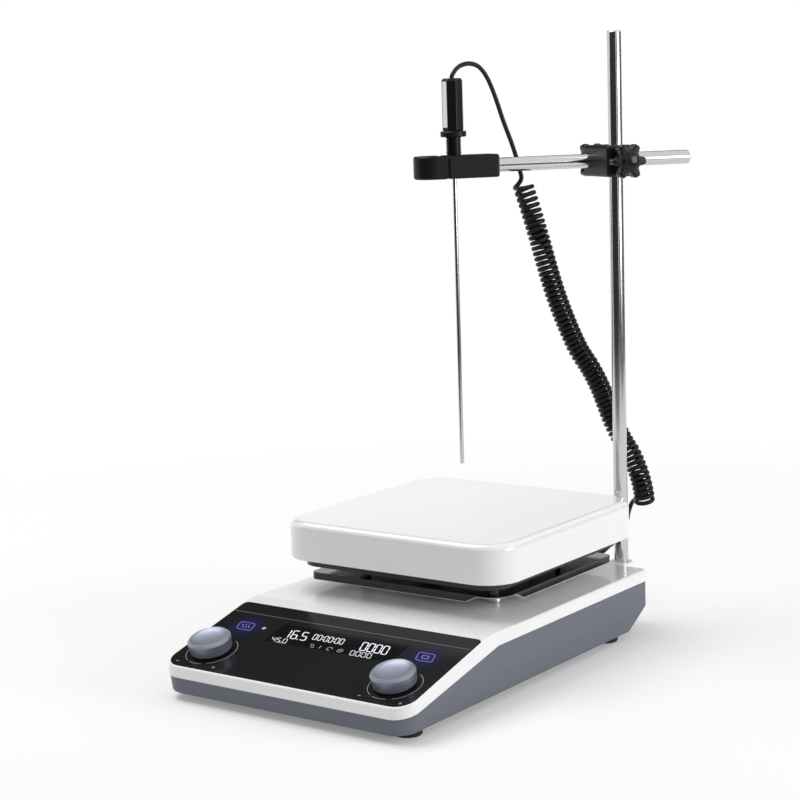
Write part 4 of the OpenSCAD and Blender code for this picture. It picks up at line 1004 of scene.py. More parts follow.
class STIRRER_OT_lead(bpy.types.Operator):
    """Winds the probe's lead in five stretches, from the handle through the curls to its plug"""

    bl_idname = "stirrer.lead"
    bl_label = "Probe lead"

    def execute(self, context):
        radius = sizes().cord_radius / MM
        start = Vector((probe_x, probe_y, handle_top))
        plug_end = Vector((plug_x, plug_high[1], plug_z))
        tail = [plug_end + Vector(p) for p in PLUG_TURN]
        top = plain_route([start, start + Vector(EXIT_RISE)] + [Vector(p) for p in TOP_POINTS])
        curls = curly_route([Vector(p) for p in COIL_POINTS])
        lead = plain_route([curls[-1]] + [Vector(p) for p in LEAD_POINTS] + tail)
        third = len(curls) // 3
        stretches = [
            ("lead_top", top[:DROP_START + 2], "probe", "arm", ("cord_top",)),
            ("lead_curls_upper", top[DROP_START:-1] + curls[:third + 2], "arm", "boss", ("cord_coil",)),
            ("lead_curls_middle", curls[third:2 * third + 2], "boss", "stand_rod", ()),
            ("lead_curls_lower", curls[2 * third:], "stand_rod", "stirrer_base", ()),
        ]
        for name, route, near, far, nodes in stretches:
            piece = tube(name, route, radius)
            dress(piece, None, "cord_black", *nodes, smooth=60, weigh=False)
            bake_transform(piece)
        profile = (PLUG_NOSE + repeated(GRIP_GROOVE, start=13, pitch=3, count=5)
                   + PLUG_NECK + repeated(NECK_GROOVE, start=35, pitch=1.8, count=3) + PLUG_TIP)
        plug = turned("probe_plug_turned", profile, sides=48)
        settle(plug, at(plug_x, rear_y + PLUG_STAND, plug_z) @ turn(-90, "X"))
        dress(plug, "stirrer_base", "black_plastic", "probe_plug", finish="gloss_plastic")
        piece = tube("lead_end", lead, radius)
        dress(piece, "stirrer_base", "cord_black", "cord_lead", smooth=60, weigh=False)
        return {"FINISHED"}


# Case

# How far the lower shell is drawn in below its crease, at the rear and at the sides
REAR_DRAW = 20
SIDE_DRAW = 2.5
# Rounding of the crease, of the lower shell's foot and of the bend between panel and deck
CREASE_ROUND = 0.7
FOOT_ROUND = 1.6
BEND_ROUND = 7.5
# Heads of the case screws, and the recesses that they sit in
SCREW_HEAD_R = 3
RECESS_R = 3.2
RECESS_HIGH = 10
RECESS_BELOW = 1
# Opening for the rear panel: how much narrower and taller than the panel, and how far it cuts in and out
OPENING_INSET = 1.8
OPENING_SLACK = 0.2
OPENING_IN = 8
OPENING_OUT = 4
# Hole in the deck for the motor's shaft
SHAFT_HOLE_R = 12
SHAFT_HOLE_CUT = 6
# Panel, in millimetres across, up the slope and off its surface: its length, the film and the film's pocket
PANEL_LEN = 90
FILM_FOOT = -0.8
FILM_TOP = 0.2
FILM_INSET = 1.5
FILM_CORNERS = (12.5, 4)
FILM_ROUND = 0.15
POCKET_TOP = 6
POCKET_INSET = 1.3
POCKET_CORNERS = (12.7, 4.2)
# The display's window, the knobs and the holes for their bushings, and how far each cut reaches
WINDOW_LOW = (-47, 45.5)
WINDOW_HIGH = (55, 68.5)
KNOB_X = 74.3
KNOB_V = 24.3
BUSHING_R = 3.8
CUT_TOP = 3
SHELL_CUT = -6
FILM_CUT = -3


def seam_height(y):
    """Height of the seam between the shells at a distance along the base."""
    level = sizes().seam_level / MM
    share = min(1, max(0, (y - front_y) / level))
    return cover_low[2] + share * (tray_high[2] - cover_low[2])


def round_corners():
    """Rounds the upright corners of an open shell, widely in front and tightly behind."""
    round_edges(lambda e: climbs(e) and middle(e).y < 0, sizes().front_corner / MM, steps=12)
    round_edges(lambda e: climbs(e) and middle(e).y > 0, sizes().rear_corner / MM, steps=6)


def rear_opening():
    """Cutter for the opening that the rear panel fills."""
    low = (rear_low[0] + OPENING_INSET, rear_y - OPENING_IN, rear_low[2] - OPENING_SLACK)
    high = (rear_high[0] - OPENING_INSET, rear_y + OPENING_OUT, rear_high[2] + OPENING_SLACK)
    return block("rear_opening", low, high)


def panel_block(name, inset, top, radii):
    """A block with round corners over the panel, set in from its edges."""
    low = (-half_w + inset, inset, FILM_FOOT)
    high = (half_w - inset, PANEL_LEN - inset, top)
    return rounded_block(name, low, high, *radii)


def panel_cutters(foot):
    """Cutters through the panel: the display's window, then the holes for the knobs' bushings."""
    window = settle(block("window", (*WINDOW_LOW, foot), (*WINDOW_HIGH, CUT_TOP)), on_panel())
    knobs = [on_panel() @ at(side * KNOB_X, KNOB_V, 0) for side in (-1, 1)]
    holes = [pin("bushing_hole", BUSHING_R, foot, CUT_TOP, knob, sides=24) for knob in knobs]
    return [window, *holes]


class STIRRER_OT_lower_shell(bpy.types.Operator):
    """Models the lower shell: a tray drawn in below its crease and cut along the sloping seam"""

    bl_idname = "stirrer.lower_shell"
    bl_label = "Lower shell"

    def execute(self, context):
        size = sizes()
        foot = tray_low[2]
        crease = size.crease / MM
        top = tray_high[2]
        shell = block("lower_shell", (-half_w, front_y, foot), (half_w, rear_y, top))
        enter(shell)
        slice_open((0, 0, crease), (0, 0, 1))
        reshape(lambda x, y, z: (x - math.copysign(SIDE_DRAW, x), y - (REAR_DRAW if y > 0 else 0), z)
                if z < foot + ABOUT else (x, y, z))
        round_corners()
        rise = top - cover_low[2]
        level = size.seam_level / MM
        slice_open((0, front_y + level, top), (0, -rise, level), clear=True)
        pick("FACE", lambda f: f.normal.z > SLOPED)
        bpy.ops.mesh.delete(type="FACE")
        round_edges(lambda e: level_at(e, crease), CREASE_ROUND, steps=2)
        round_edges(lambda e: level_at(e, foot), FOOT_ROUND, steps=4)
        leave()
        apply_modifier(shell, "SOLIDIFY", thickness=size.wall, offset=-1, use_even_offset=True)
        low, high = corners("case_screws")
        cutters = [rear_opening()]
        for x in (low[0] + SCREW_HEAD_R, high[0] - SCREW_HEAD_R):
            for y in (low[1] + SCREW_HEAD_R, high[1] - SCREW_HEAD_R):
                place = at(x, y, foot - RECESS_BELOW)
                cutters.append(pin("screw_recess", RECESS_R, 0, RECESS_HIGH, place, sides=24))
        carve(shell, *cutters)
        dress(shell, "stirrer_base", "base_grey", "base_tray", smooth=25)
        return {"FINISHED"}


class STIRRER_OT_upper_shell(bpy.types.Operator):
    """Models the upper shell: a white cover with a sloped front, round edges and a pocket for the panel"""

    bl_idname = "stirrer.upper_shell"
    bl_label = "Upper shell"

    def execute(self, context):
        size = sizes()
        lip = size.lip / MM
        low = cover_low[2]
        shell = block("upper_shell", (-half_w, front_y, low), (half_w, rear_y, deck_z))
        enter(shell)
        round_corners()
        slice_open((0, front_y, lip), (0, -math.sin(size.slope), math.cos(size.slope)), clear=True)
        slice_open((0, front_y + size.seam_level / MM, 0), (0, 1, 0))
        reshape(lambda x, y, z: (x, y, seam_height(y)) if z < low + NEAR else (x, y, z))
        pick("FACE", lambda f: f.normal.z < -SLOPED)
        bpy.ops.mesh.delete(type="FACE")
        bend_y = front_y + (deck_z - lip) / math.tan(size.slope)
        round_edges(lambda e: level_at(e, deck_z) and abs(middle(e).y - bend_y) < NEAR, BEND_ROUND, steps=8)
        round_edges(rims_top, size.edge / MM, steps=4)
        leave()
        apply_modifier(shell, "SOLIDIFY", thickness=size.wall, offset=-1, use_even_offset=True)
        pocket = settle(panel_block("pocket", POCKET_INSET, POCKET_TOP, POCKET_CORNERS), on_panel())
        window, *holes = panel_cutters(SHELL_CUT)
        shaft_hole = pin("shaft_hole", SHAFT_HOLE_R, -SHAFT_HOLE_CUT, SHAFT_HOLE_CUT, at(0, plate_y, deck_z),
                         sides=48)
        carve(shell, pocket, window, rear_opening(), shaft_hole, *holes)
        dress(shell, "stirrer_base", "cover_white", "top_cover", smooth=25)
        return {"FINISHED"}


# Radius of a foot, the height of its upper edge and the profile of its grooved sole
FOOT_R = 9
FOOT_EDGE = 0.6
FOOT_SOLE = [(3, 0.6), (3.4, 0), (7.4, 0), (8.3, 0.3), (8.8, 1)]


class STIRRER_OT_feet(bpy.types.Operator):
    """Turns one rubber foot with a grooved sole and copies it to the four corners"""

    bl_idname = "stirrer.feet"
    bl_label = "Feet"

    def execute(self, context):
        low, high = corners("rubber_feet")
        height = high[2]
        profile = FOOT_SOLE + [(FOOT_R, height - FOOT_EDGE), (FOOT_R, height)]
        foot = turned("rubber_feet_set", profile, sides=40)
        places = [(x, y) for x in (low[0] + FOOT_R, high[0] - FOOT_R)
                  for y in (low[1] + FOOT_R, high[1] - FOOT_R)]
        copies = [copy_of(foot, at(x, y, 0)) for x, y in places[1:]]
        settle(foot, at(*places[0], 0))
        dress(join([foot] + copies), "stirrer_base", "foot_rubber", "rubber_feet")
        return {"FINISHED"}


# Control panel

# Bars that each digit lights, lettered clockwise from the top one, with the middle one last
DIGITS = {"0": "abcdef", "1": "bc", "2": "abged", "3": "abgcd", "4": "fgbc", "5": "afgcd", "6": "afgedc",
          "7": "abc", "8": "abcdefg", "9": "abfgcd"}
# Lean of all signs, the step after a dot or colon, the size of a dot and the levels of a colon's two
LEAN = -0.30
MARK_STEP = 1.2
DOT = 0.8
COLON_LEVELS = (0.3, 0.7)
# Bars of a digit: the gap at each end, the least thickness and the thickness as a share of the height
BAR_GAP = 0.12
LEAST_BAR = 0.45
BAR_SHARE = 0.085
# Rows of the display: text, left end, foot, width and height of a digit, and the step to the next one
DISPLAY_ROWS = [
    ("16.5", -38.2, 53.8, 4.3, 9.6, 6.6),
    ("00:00:00", -15.5, 56.8, 2.6, 6.4, 3.9),
    ("0000", 25.0, 54.0, 4.0, 9.6, 5.6),
    ("45.0", -42.4, 46.9, 2.7, 5.2, 4.1),
    ("0000", 22.2, 46.9, 3.0, 5.2, 4.4),
]
# Small signs below the digits: their level, line, radius and height, their places across, and the arcs in
# degrees of an open and a closed ring
SIGN_V = 49.6
SIGN_LINE = 0.5
SIGN_R = 1.9
SIGN_HIGH = 4.2
WAVES_X = (-10.6, -8.8)
STROKE_X = -3.4
OPEN_RING_X = 4.4
CLOSED_RING_X = 12.9
OPEN = (0, 300)
CLOSED = (0, 358)
# Sideways swing of a wavy stroke
WAVE = 0.8
# Key frames and the stop mark: width, height and corner radius, outside and inside
KEY_FRAME = [(13.0, 9.6, 2.2), (11.8, 8.4, 1.6)]
STOP_MARK = [(5.4, 4.0, 0.8), (4.1, 2.7, 0.5)]
# Heat mark: places, height and line of its three strokes
HEAT_STEPS = (-2.6, 0, 2.6)
HEAT_HIGH = 4.6
HEAT_LINE = 0.7
# Dial rings: radius, line and arcs in degrees, and the less and more signs below them
RING_R = 17.3
RING_LINE = 0.35
RING_ARCS = [(-62, 62), (160, 242), (250, 285)]
LESS_X = -14.6
MORE_X = 16.2
MORE_V = 6.4
LESS_LEN = 2.2
MORE_LEN = 2.4
# Hairline across the film
HAIRLINE_V = 75.4
HAIRLINE_INSET = 2.5
HAIRLINE = 0.4
# Tops of the lit signs, the prints and the hairline, which all stand on the film
LIT_TOP = 0.26
PRINT_TOP = 0.25
HAIRLINE_TOP = 0.24
# Status lens and its hole
LENS_X = -58.5
LENS_V = 60
LENS_R = 1.7
# Slack of the display in its window, the depth of display and light guides, the rounding of the display's
# edge, and the guides' sizes
GLASS_SLACK = 0.2
GLASS_FOOT = -10.5
GLASS_ROUND = 0.2
GUIDE_X = 73.5
GUIDE_HALF = 6.5
GUIDE_LOW = 55.2
GUIDE_HIGH = 64.8
GUIDE_TOP = -0.85


def bar(x, v, width, height):
    """Outline of a bar around a centre."""
    return [(x - width / 2, v - height / 2), (x + width / 2, v - height / 2), (x + width / 2, v + height / 2),
            (x - width / 2, v + height / 2)]


def segment(ends, thick):
    """Outline of one bar of a digit between two ends, pointed at both."""
    (x0, y0), (x1, y1) = ends
    length = math.hypot(x1 - x0, y1 - y0)
    dx, dy = (x1 - x0) / length, (y1 - y0) / length
    half = thick / 2
    rows = [(BAR_GAP, 0), (BAR_GAP + half, half), (length - BAR_GAP - half, half), (length - BAR_GAP, 0),
            (length - BAR_GAP - half, -half), (BAR_GAP + half, -half)]
    return [(x0 + dx * s - dy * t, y0 + dy * s + dx * t) for s, t in rows]


def number(text, x, v, width, height, pitch):
    """Outlines of a row of digits that starts at x and stands on v."""
    thick = max(LEAST_BAR, BAR_SHARE * height)
    half = height / 2
    bars = {"a": ((0, height), (width, height)), "b": ((width, half), (width, height)),
            "c": ((width, 0), (width, half)), "d": ((0, 0), (width, 0)), "e": ((0, 0), (0, half)),
            "f": ((0, half), (0, height)), "g": ((0, half), (width, half))}
    outlines = []
    for sign in text:
        if sign in DIGITS:
            outlines += [[(x + px + LEAN * py, v + py) for px, py in segment(bars[key], thick)]
                         for key in DIGITS[sign]]
            x += pitch
            continue
        for level in ((0,) if sign == "." else COLON_LEVELS):
            px = x - 0.5 * (pitch - width) + 0.5 * MARK_STEP + LEAN * level * height
            outlines.append(bar(px, v + level * height, DOT, DOT))
        x += MARK_STEP
    return outlines


def arc_band(x, v, radius, thick, start, stop, steps=40):
    """Outline of a thin band along an arc, in degrees."""
    angles = [math.radians(start + (stop - start) * i / steps) for i in range(steps + 1)]
    outer, inner = [[(x + r * math.cos(a), v + r * math.sin(a)) for a in angles]
                    for r in (radius + thick / 2, radius - thick / 2)]
    return outer + inner[::-1]


def round_square(x, v, width, height, radius):
    """Outline of a leaning square with round corners."""
    points = []
    for k, (sx, sy) in enumerate(((1, 1), (-1, 1), (-1, -1), (1, -1))):
        for i in range(7):
            angle = math.radians(90 * k + 15 * i)
            px = sx * (width / 2 - radius) + radius * math.cos(angle)
            py = sy * (height / 2 - radius) + radius * math.sin(angle)
            points.append((x + px + LEAN * py, v + py))
    return points


def heat_wave(x, v, height, thick, steps=12):
    """Outline of one wavy stroke of the heat mark."""
    rows = [i / steps for i in range(steps + 1)]
    centre = [(x + WAVE * math.sin(2 * math.pi * t) + LEAN * (t - 0.5) * height, v + (t - 0.5) * height)
              for t in rows]
    return [(px - thick / 2, py) for px, py in centre] + [(px + thick / 2, py) for px, py in centre[::-1]]


class STIRRER_OT_panel(bpy.types.Operator):
    """Makes the black film, the display and its digits, the lit keys, the dial rings and the hairline"""

    bl_idname = "stirrer.panel"
    bl_label = "Control panel"

    def execute(self, context):
        self.film_and_display()
        self.signs()
        return {"FINISHED"}

    def film_and_display(self):
        """The film, the display's glass and the light guides under the keys."""
        film = panel_block("panel_film", FILM_INSET, FILM_TOP, FILM_CORNERS)
        enter(film)
        round_edges(rims_top, FILM_ROUND, steps=2)
        leave()
        settle(film, on_panel())
        window, *holes = panel_cutters(FILM_CUT)
        lens_hole = pin("lens_hole", LENS_R, FILM_CUT, CUT_TOP, on_panel() @ at(LENS_X, LENS_V, 0), sides=24)
        carve(film, window, lens_hole, *holes)
        dress(film, "stirrer_base", "overlay_black", "panel_overlay")
        glass = block("display_glass", (*[v + GLASS_SLACK for v in WINDOW_LOW], GLASS_FOOT),
                      (*[v - GLASS_SLACK for v in WINDOW_HIGH], FILM_TOP))
        enter(glass)
        round_edges(rims_top, GLASS_ROUND, steps=2)
        leave()
        dress(settle(glass, on_panel()), "stirrer_base", "display_dark", "display_module")
        guides = []
        for side in (-1, 1):
            guide = block("key_guides", (side * GUIDE_X - GUIDE_HALF, GUIDE_LOW, GLASS_FOOT),
                          (side * GUIDE_X + GUIDE_HALF, GUIDE_HIGH, GUIDE_TOP))
            soften(guide, 0.4)
            guides.append(settle(guide, on_panel()))
        dress(join(guides), "stirrer_base", "key_blue", "key_light_guides")

    def signs(self):
        """The digits and signs of the display, the key marks, the dial rings and the hairline."""
        lit = [outline for row in DISPLAY_ROWS for outline in number(*row)]
        digits = flat("display_digits", lit, FILM_TOP, LIT_TOP)
        dress(digits, "stirrer_base", "display_dark", finish="display_lit")
        small = [
            *[heat_wave(x, SIGN_V, SIGN_HIGH, SIGN_LINE) for x in WAVES_X],
            arc_band(OPEN_RING_X, SIGN_V, SIGN_R, SIGN_LINE, *OPEN),
            arc_band(CLOSED_RING_X, SIGN_V, SIGN_R, SIGN_LINE, *CLOSED),
            bar(CLOSED_RING_X, SIGN_V, width=2.2, height=SIGN_LINE),
            bar(STROKE_X, SIGN_V, width=0.6, height=3.2),
        ]
        icons = flat("display_icons", small, FILM_TOP, PRINT_TOP)
        dress(icons, "stirrer_base", "display_dark", finish="display_dim")
        keys = [round_square(side * KEY_X, KEY_V, *size) for side in (-1, 1) for size in KEY_FRAME]
        keys += [heat_wave(-KEY_X + step, KEY_V, HEAT_HIGH, HEAT_LINE) for step in HEAT_STEPS]
        keys += [round_square(KEY_X, KEY_V, *size) for size in STOP_MARK]
        dress(flat("key_marks", keys, FILM_TOP, LIT_TOP), "stirrer_base", "key_blue")
        rings = []
        for side in (-1, 1):
            x = side * KNOB_X
            rings += [arc_band(x, KNOB_V, RING_R, RING_LINE, *arc) for arc in RING_ARCS]
            rings.append(bar(x + LESS_X, MORE_V, LESS_LEN, SIGN_LINE))
            rings.append(bar(x + MORE_X, MORE_V, MORE_LEN, SIGN_LINE))
            rings.append(bar(x + MORE_X, MORE_V, SIGN_LINE, MORE_LEN))
        dials = flat("dial_rings", rings, FILM_TOP, PRINT_TOP)
        dress(dials, "stirrer_base", "overlay_black", finish="panel_print")
        line = bar(0, HAIRLINE_V, 2 * half_w - 2 * HAIRLINE_INSET, HAIRLINE)
        hairline = flat("panel_hairline", [line], FILM_TOP, HAIRLINE_TOP)
        dress(hairline, "stirrer_base", "overlay_black", finish="hairline_print")


# Knob: radii and heights from its bore over its skirt and bevelled rim to its dished top, and its lift off
# the panel
KNOB_PROFILE = [
    (3.05, 6), (3.05, 0), (13.3, 0), (13.7, 0.2), (13.85, 0.7), (14.5, 6.9), (14.55, 7.5), (14.35, 7.85),
    (12.9, 9.3), (12.65, 9.45), (12.4, 9.4), (12.1, 9.15), (11.0, 8.6), (8.5, 8.05), (5, 7.75), (0.4, 7.65),
]
KNOB_LIFT = 1.4


class STIRRER_OT_knobs(bpy.types.Operator):
    """Turns a knob with a dished top and a bevelled rim for each dial"""

    bl_idname = "stirrer.knobs"
    bl_label = "Knobs"

    def execute(self, context):
        for side, name in ((-1, "temp"), (1, "speed")):
            knob = turned(name + "_knob_turned", KNOB_PROFILE, sides=72)
            settle(knob, on_panel() @ at(side * KNOB_X, KNOB_V, KNOB_LIFT))
            dress(knob, name + "_dial", "knob_grey", name + "_knob", smooth=30)
        return {"FINISHED"}


# Hotplate and what carries it

# Hotplate: height of its rim, its wall, the depth of its hollow underside and the rounding of the rim
PLATE_RIM = 70.4
PLATE_WALL = 6.5
PLATE_HOLLOW = 18.6
RIM_ROUND = 1.0
# Shield: sheet, corner radius of the far corners and of the near one, length of the cuts in its flange beside
# the near corner, how far those slant, the hole for the drive and the rounding of its hem
SHEET = 1.2
FAR_CORNER = 4
NEAR_CORNER = 16
FLANGE_CUT = 19
FLANGE_SLANT = 11
SHIELD_HOLE_R = 45
HEM_ROUND = 0.45
# How far the shield's cutters reach beyond it, and half the height of the one that rounds the near corner
OVERCUT = 1
CORNER_CUT = 9


class STIRRER_OT_hotplate(bpy.types.Operator):
    """Models the hotplate: a square casting with round corners, a filleted top edge and a hollow underside"""

    bl_idname = "stirrer.hotplate"
    bl_label = "Hotplate"

    def execute(self, context):
        size = sizes()
        corner = size.plate_corner / MM
        low = plate_low[:2] + [PLATE_RIM]
        plate = rounded_block("hotplate_casting", low, plate_high, corner, corner, steps=14)
        enter(plate)
        round_edges(rims_top, size.plate_fillet / MM, steps=8)
        pick("FACE", lambda f: f.normal.z < -LEVEL)
        bpy.ops.mesh.inset(thickness=PLATE_WALL * MM)
        bpy.ops.mesh.extrude_region_move(TRANSFORM_OT_translate={"value": (0, 0, PLATE_HOLLOW * MM)})
        round_edges(lambda e: level_at(e, PLATE_RIM), RIM_ROUND, steps=3)
        leave()
        dress(plate, "stirrer_base", "plate_white", "hotplate", smooth=40)
        return {"FINISHED"}


class STIRRER_OT_carriers(bpy.types.Operator):
    """Models the polished heat shield with its flange and cut corner, and softens the pan and the posts"""

    bl_idname = "stirrer.carriers"
    bl_label = "Shield, pan and posts"

    def execute(self, context):
        top = shield_high[2]
        rim = shield_low[2]
        right = shield_high[0]
        front = shield_low[1]
        shield = rounded_block("heat_shield_sheet", shield_low, shield_high, FAR_CORNER, FAR_CORNER, steps=4)
        enter(shield)
        pick("FACE", lambda f: f.normal.z < -LEVEL)
        bpy.ops.mesh.inset(thickness=SHEET * MM)
        bpy.ops.mesh.extrude_region_move(TRANSFORM_OT_translate={"value": (0, 0, (top - SHEET - rim) * MM)})
        leave()
        hole = pin("shield_hole", SHIELD_HOLE_R, -CUT_TOP, CUT_TOP, at(0, plate_y, top), sides=64)
        notches = []
        for axis, way in ((0, 1), (1, -1)):
            low = [right - FLANGE_CUT, front - OVERCUT, rim - OVERCUT]
            high = [right + OVERCUT, front + FLANGE_CUT, top - SHEET]
            notch = block("notch", low, high)
            inner = low[0] if axis == 0 else high[1]
            enter(notch)
            reshape(lambda *p: [v - way * FLANGE_SLANT if i == axis and p[2] < rim and abs(v - inner) < ABOUT
                                else v for i, v in enumerate(p)])
            leave()
            notches.append(notch)
        corner = block("corner", (right - NEAR_CORNER, front - OVERCUT, rim),
                       (right + OVERCUT, front + NEAR_CORNER, top + OVERCUT))
        centre = at(right - NEAR_CORNER, front + NEAR_CORNER, top)
        carve(corner, pin("corner_round", NEAR_CORNER, -CORNER_CUT, CORNER_CUT, centre, sides=96))
        carve(shield, hole, *notches, corner)
        enter(shield)
        round_edges(lambda e: hems(e, top - SHEET), HEM_ROUND, steps=2)
        leave()
        # the shield's finish carries a painted dark reflection and a painted highlight along its hem
        dress(shield, "stirrer_base", "sheet_steel", "heat_shield", finish="shield_steel")
        # the pan's near-black tone is painted shade for the dark space under the hotplate
        dress(softened("heater_pan", 0.5), "stirrer_base", "sheet_steel", "heater_pan", finish="pan_steel")
        dress(softened("plate_posts", 0.4), "stirrer_base", "screw_steel", "plate_posts", finish="post_steel")
        return {"FINISHED"}


# Rear

# Solids that only get soft edges: node, body, slot and width of the rounding
REAR_PIECES = [
    ("rear_panel", "stirrer_base", "rear_grey", 0.3),
    ("mains_inlet", "stirrer_base", "black_plastic", 0.6),
    ("inlet_pins", "stirrer_base", "contact_metal", 0.3),
    ("switch_frame", "stirrer_base", "black_plastic", 0.3),
    ("power_rocker", "switch_rocker", "black_plastic", 0.4),
    ("fuse_holder", "stirrer_base", "black_plastic", 0.4),
    ("fuse_cap", "fuse_cover", "black_plastic", 0.4),
    ("probe_socket", "stirrer_base", "contact_metal", 0.4),
    ("rod_bracket", "stirrer_base", "bracket_white", 0.5),
    ("bracket_screws", "stirrer_base", "screw_steel", 0.5),
    ("case_screws", "stirrer_base", "screw_steel", 0.4),
]
# Rocker: depth and rest angle of its pivot, the places, tilt and thickness of its two marks, and the radius
# and line of the round one
PIVOT_DEPTH = 5
ROCKER_REST = -9
MARK_R = 1.5
MARK_LINE = 0.55
MARK_OUT = 7
MARK_Z = 3.35
MARK_TILT = 16.6
MARK_LOW = -0.1
MARK_HIGH = 0.12


class STIRRER_OT_rear(bpy.types.Operator):
    """Softens the rear panel, the inlet, the switch and the fuse and marks the rocker"""

    bl_idname = "stirrer.rear"
    bl_label = "Rear connections"

    def execute(self, context):
        for node, body, slot, width in REAR_PIECES:
            dress(softened(node, width), body, slot, node)
        low, high = corners("power_rocker")
        pivot = at((low[0] + high[0]) / 2, rear_y - PIVOT_DEPTH, plug_z) @ turn(ROCKER_REST, "X")
        outward = turn(180, "Y") @ turn(-90, "X")
        marks = [
            flat("rocker_marks", [bar(0, 0, width=0.7, height=3.4)], MARK_LOW, MARK_HIGH,
                 pivot @ at(0, MARK_OUT, MARK_Z) @ turn(-MARK_TILT, "X") @ outward),
            flat("rocker_ring", [arc_band(0, 0, MARK_R, MARK_LINE, *CLOSED)], MARK_LOW, MARK_HIGH,
                 pivot @ at(0, MARK_OUT, -MARK_Z) @ turn(MARK_TILT, "X") @ outward),
        ]
        dress(join(marks), "switch_rocker", "black_plastic", finish="panel_print")
        return {"FINISHED"}


# Stand and probe

# Hand screw: its star between two heights from the rod's axis, the radii of the star's lobes and hollows, how
# broad the lobes are, the rounding of its edges, and the profiles of its shank and hub
STAR_LOW = 14.5
STAR_HIGH = 23.3
LOBE_R = 12.6
HOLLOW_R = 8.3
LOBE_BREADTH = 1.1
STAR_ROUND = 1.6
SHANK = [(3.3, 7.4), (3.75, 7.9), (3.75, 14.0), (5.6, 14.0), (5.6, 15.0)]
HUB = [(6.4, 22.8), (6.4, 23.6), (6.0, 24.1), (5.0, 24.5), (3.4, 24.85), (1.6, 25.05), (0.2, 25.1)]
# Rods: their radius, and the cross rod's length and rear end
ROD_R = 5
CROSS_LEN = 162
CROSS_REAR = -67.8
# Boss head around the support rod: its corners, its bores and the rounding of its edges
BOSS_LOW = (-11, -30, -11)
BOSS_HIGH = (11, 10, 11)
BOSS_ROUND = 2.6
ROD_BORE_R = 5.05
SCREW_BORE_R = 3.85
BORE_LEN = 20


def star_screw(name):
    """A hand screw along Z from its rod's axis: shank, six-lobed star and domed hub."""
    lobes = sizes().star_lobes
    bpy.ops.object.select_all(action="DESELECT")
    bpy.ops.mesh.primitive_cylinder_add(vertices=96, radius=LOBE_R * MM, depth=(STAR_HIGH - STAR_LOW) * MM,
                                        location=(0, 0, (STAR_LOW + STAR_HIGH) / 2 * MM))
    star = bpy.context.object
    star.name = name
    bpy.ops.object.transform_apply(location=True, rotation=True, scale=True)
    enter(star)

    def lobed(x, y, z):
        """Pulls a point of the round star in where a hollow is."""
        share = 0.5 + 0.5 * math.cos(lobes * math.atan2(y, x))
        radius = HOLLOW_R + (LOBE_R - HOLLOW_R) * eased(LOBE_BREADTH * share)
        length = math.hypot(x, y)
        return x / length * radius, y / length * radius, z

    reshape(lobed)
    round_edges(lambda e: level_at(e, STAR_LOW) or level_at(e, STAR_HIGH), STAR_ROUND, steps=4)
    leave()
    return join([star, turned("shank", SHANK, sides=32), turned("hub", HUB, sides=48)])


class STIRRER_OT_stand(bpy.types.Operator):
    """Turns the rods, models the boss head and the star screws that lock the rods in it"""

    bl_idname = "stirrer.stand"
    bl_label = "Stand"

    def execute(self, context):
        post = rod("support_rod_turned", ROD_R, rod_high[2] - rod_low[2])
        settle(post, at(rod_x, rod_y, rod_low[2]))
        dress(post, "stand_rod", "rod_steel", "support_rod")
        cross = rod("cross_rod_turned", ROD_R, CROSS_LEN)
        settle(cross, on_cross() @ at(CROSS_REAR, 0, 0) @ turn(90, "Y"))
        dress(cross, "arm", "rod_steel", "cross_rod", finish="arm_steel")
        head = block("boss_head_cast", BOSS_LOW, BOSS_HIGH)
        enter(head)
        round_edges(lambda e: True, BOSS_ROUND, steps=4)
        leave()
        beside = at(0, -ROD_SPACING, 0)
        carve(head, pin("rod_bore", ROD_BORE_R, -BORE_LEN, BORE_LEN, at(0, 0, 0), sides=48),
              pin("arm_bore", ROD_BORE_R, -BORE_LEN, BORE_LEN, beside @ turn(90, "Y"), sides=48),
              pin("end_bore", SCREW_BORE_R, 0, BORE_LEN, turn(-90, "X"), sides=32),
              pin("end_bore", SCREW_BORE_R, 0, BORE_LEN, beside @ turn(90, "X"), sides=32))
        soften(head, 0.35, steps=2, angle=50)
        dress(settle(head, on_arm()), "boss", "black_plastic", "boss_head")
        near = settle(star_screw("rod_star_screw"), on_arm() @ turn(-90, "X"))
        dress(near, "rod_lock_screw", "black_plastic", "rod_hand_screw", finish="gloss_plastic")
        far = settle(star_screw("arm_star_screw"), on_cross() @ turn(90, "X"))
        dress(far, "arm_lock_screw", "black_plastic", "arm_hand_screw", finish="gloss_plastic")
        return {"FINISHED"}


# Clamp along the cross rod: its bar with sunk sides, its round nose with a recess, and the neck between them
CLAMP_LOW = (83.5, -10, -8)
CLAMP_HIGH = (121.9, 10, 8)
SIDE_FRAME = 3.2
SIDE_SINK = 0.5
CLAMP_ROUND = 1.8
NOSE_LOW = (123.1, -12.4, -8)
NOSE_HIGH = (143.3, 12.4, 8)
NOSE_ROUND = 12.3
NOSE_FRONT = 140
RECESS_S = 130.9
NOSE_RECESS_R = 7.6
NOSE_RECESS = (5, 12)
NECK_LOW = (120.5, -7, -6)
NECK_HIGH = (125, 7, 4.5)
# Bore for the probe's stub and seat of the cross rod in the clamp
STUB_BORE_R = 5.55
SEAT_START = 60.5
SEAT_LEN = 34
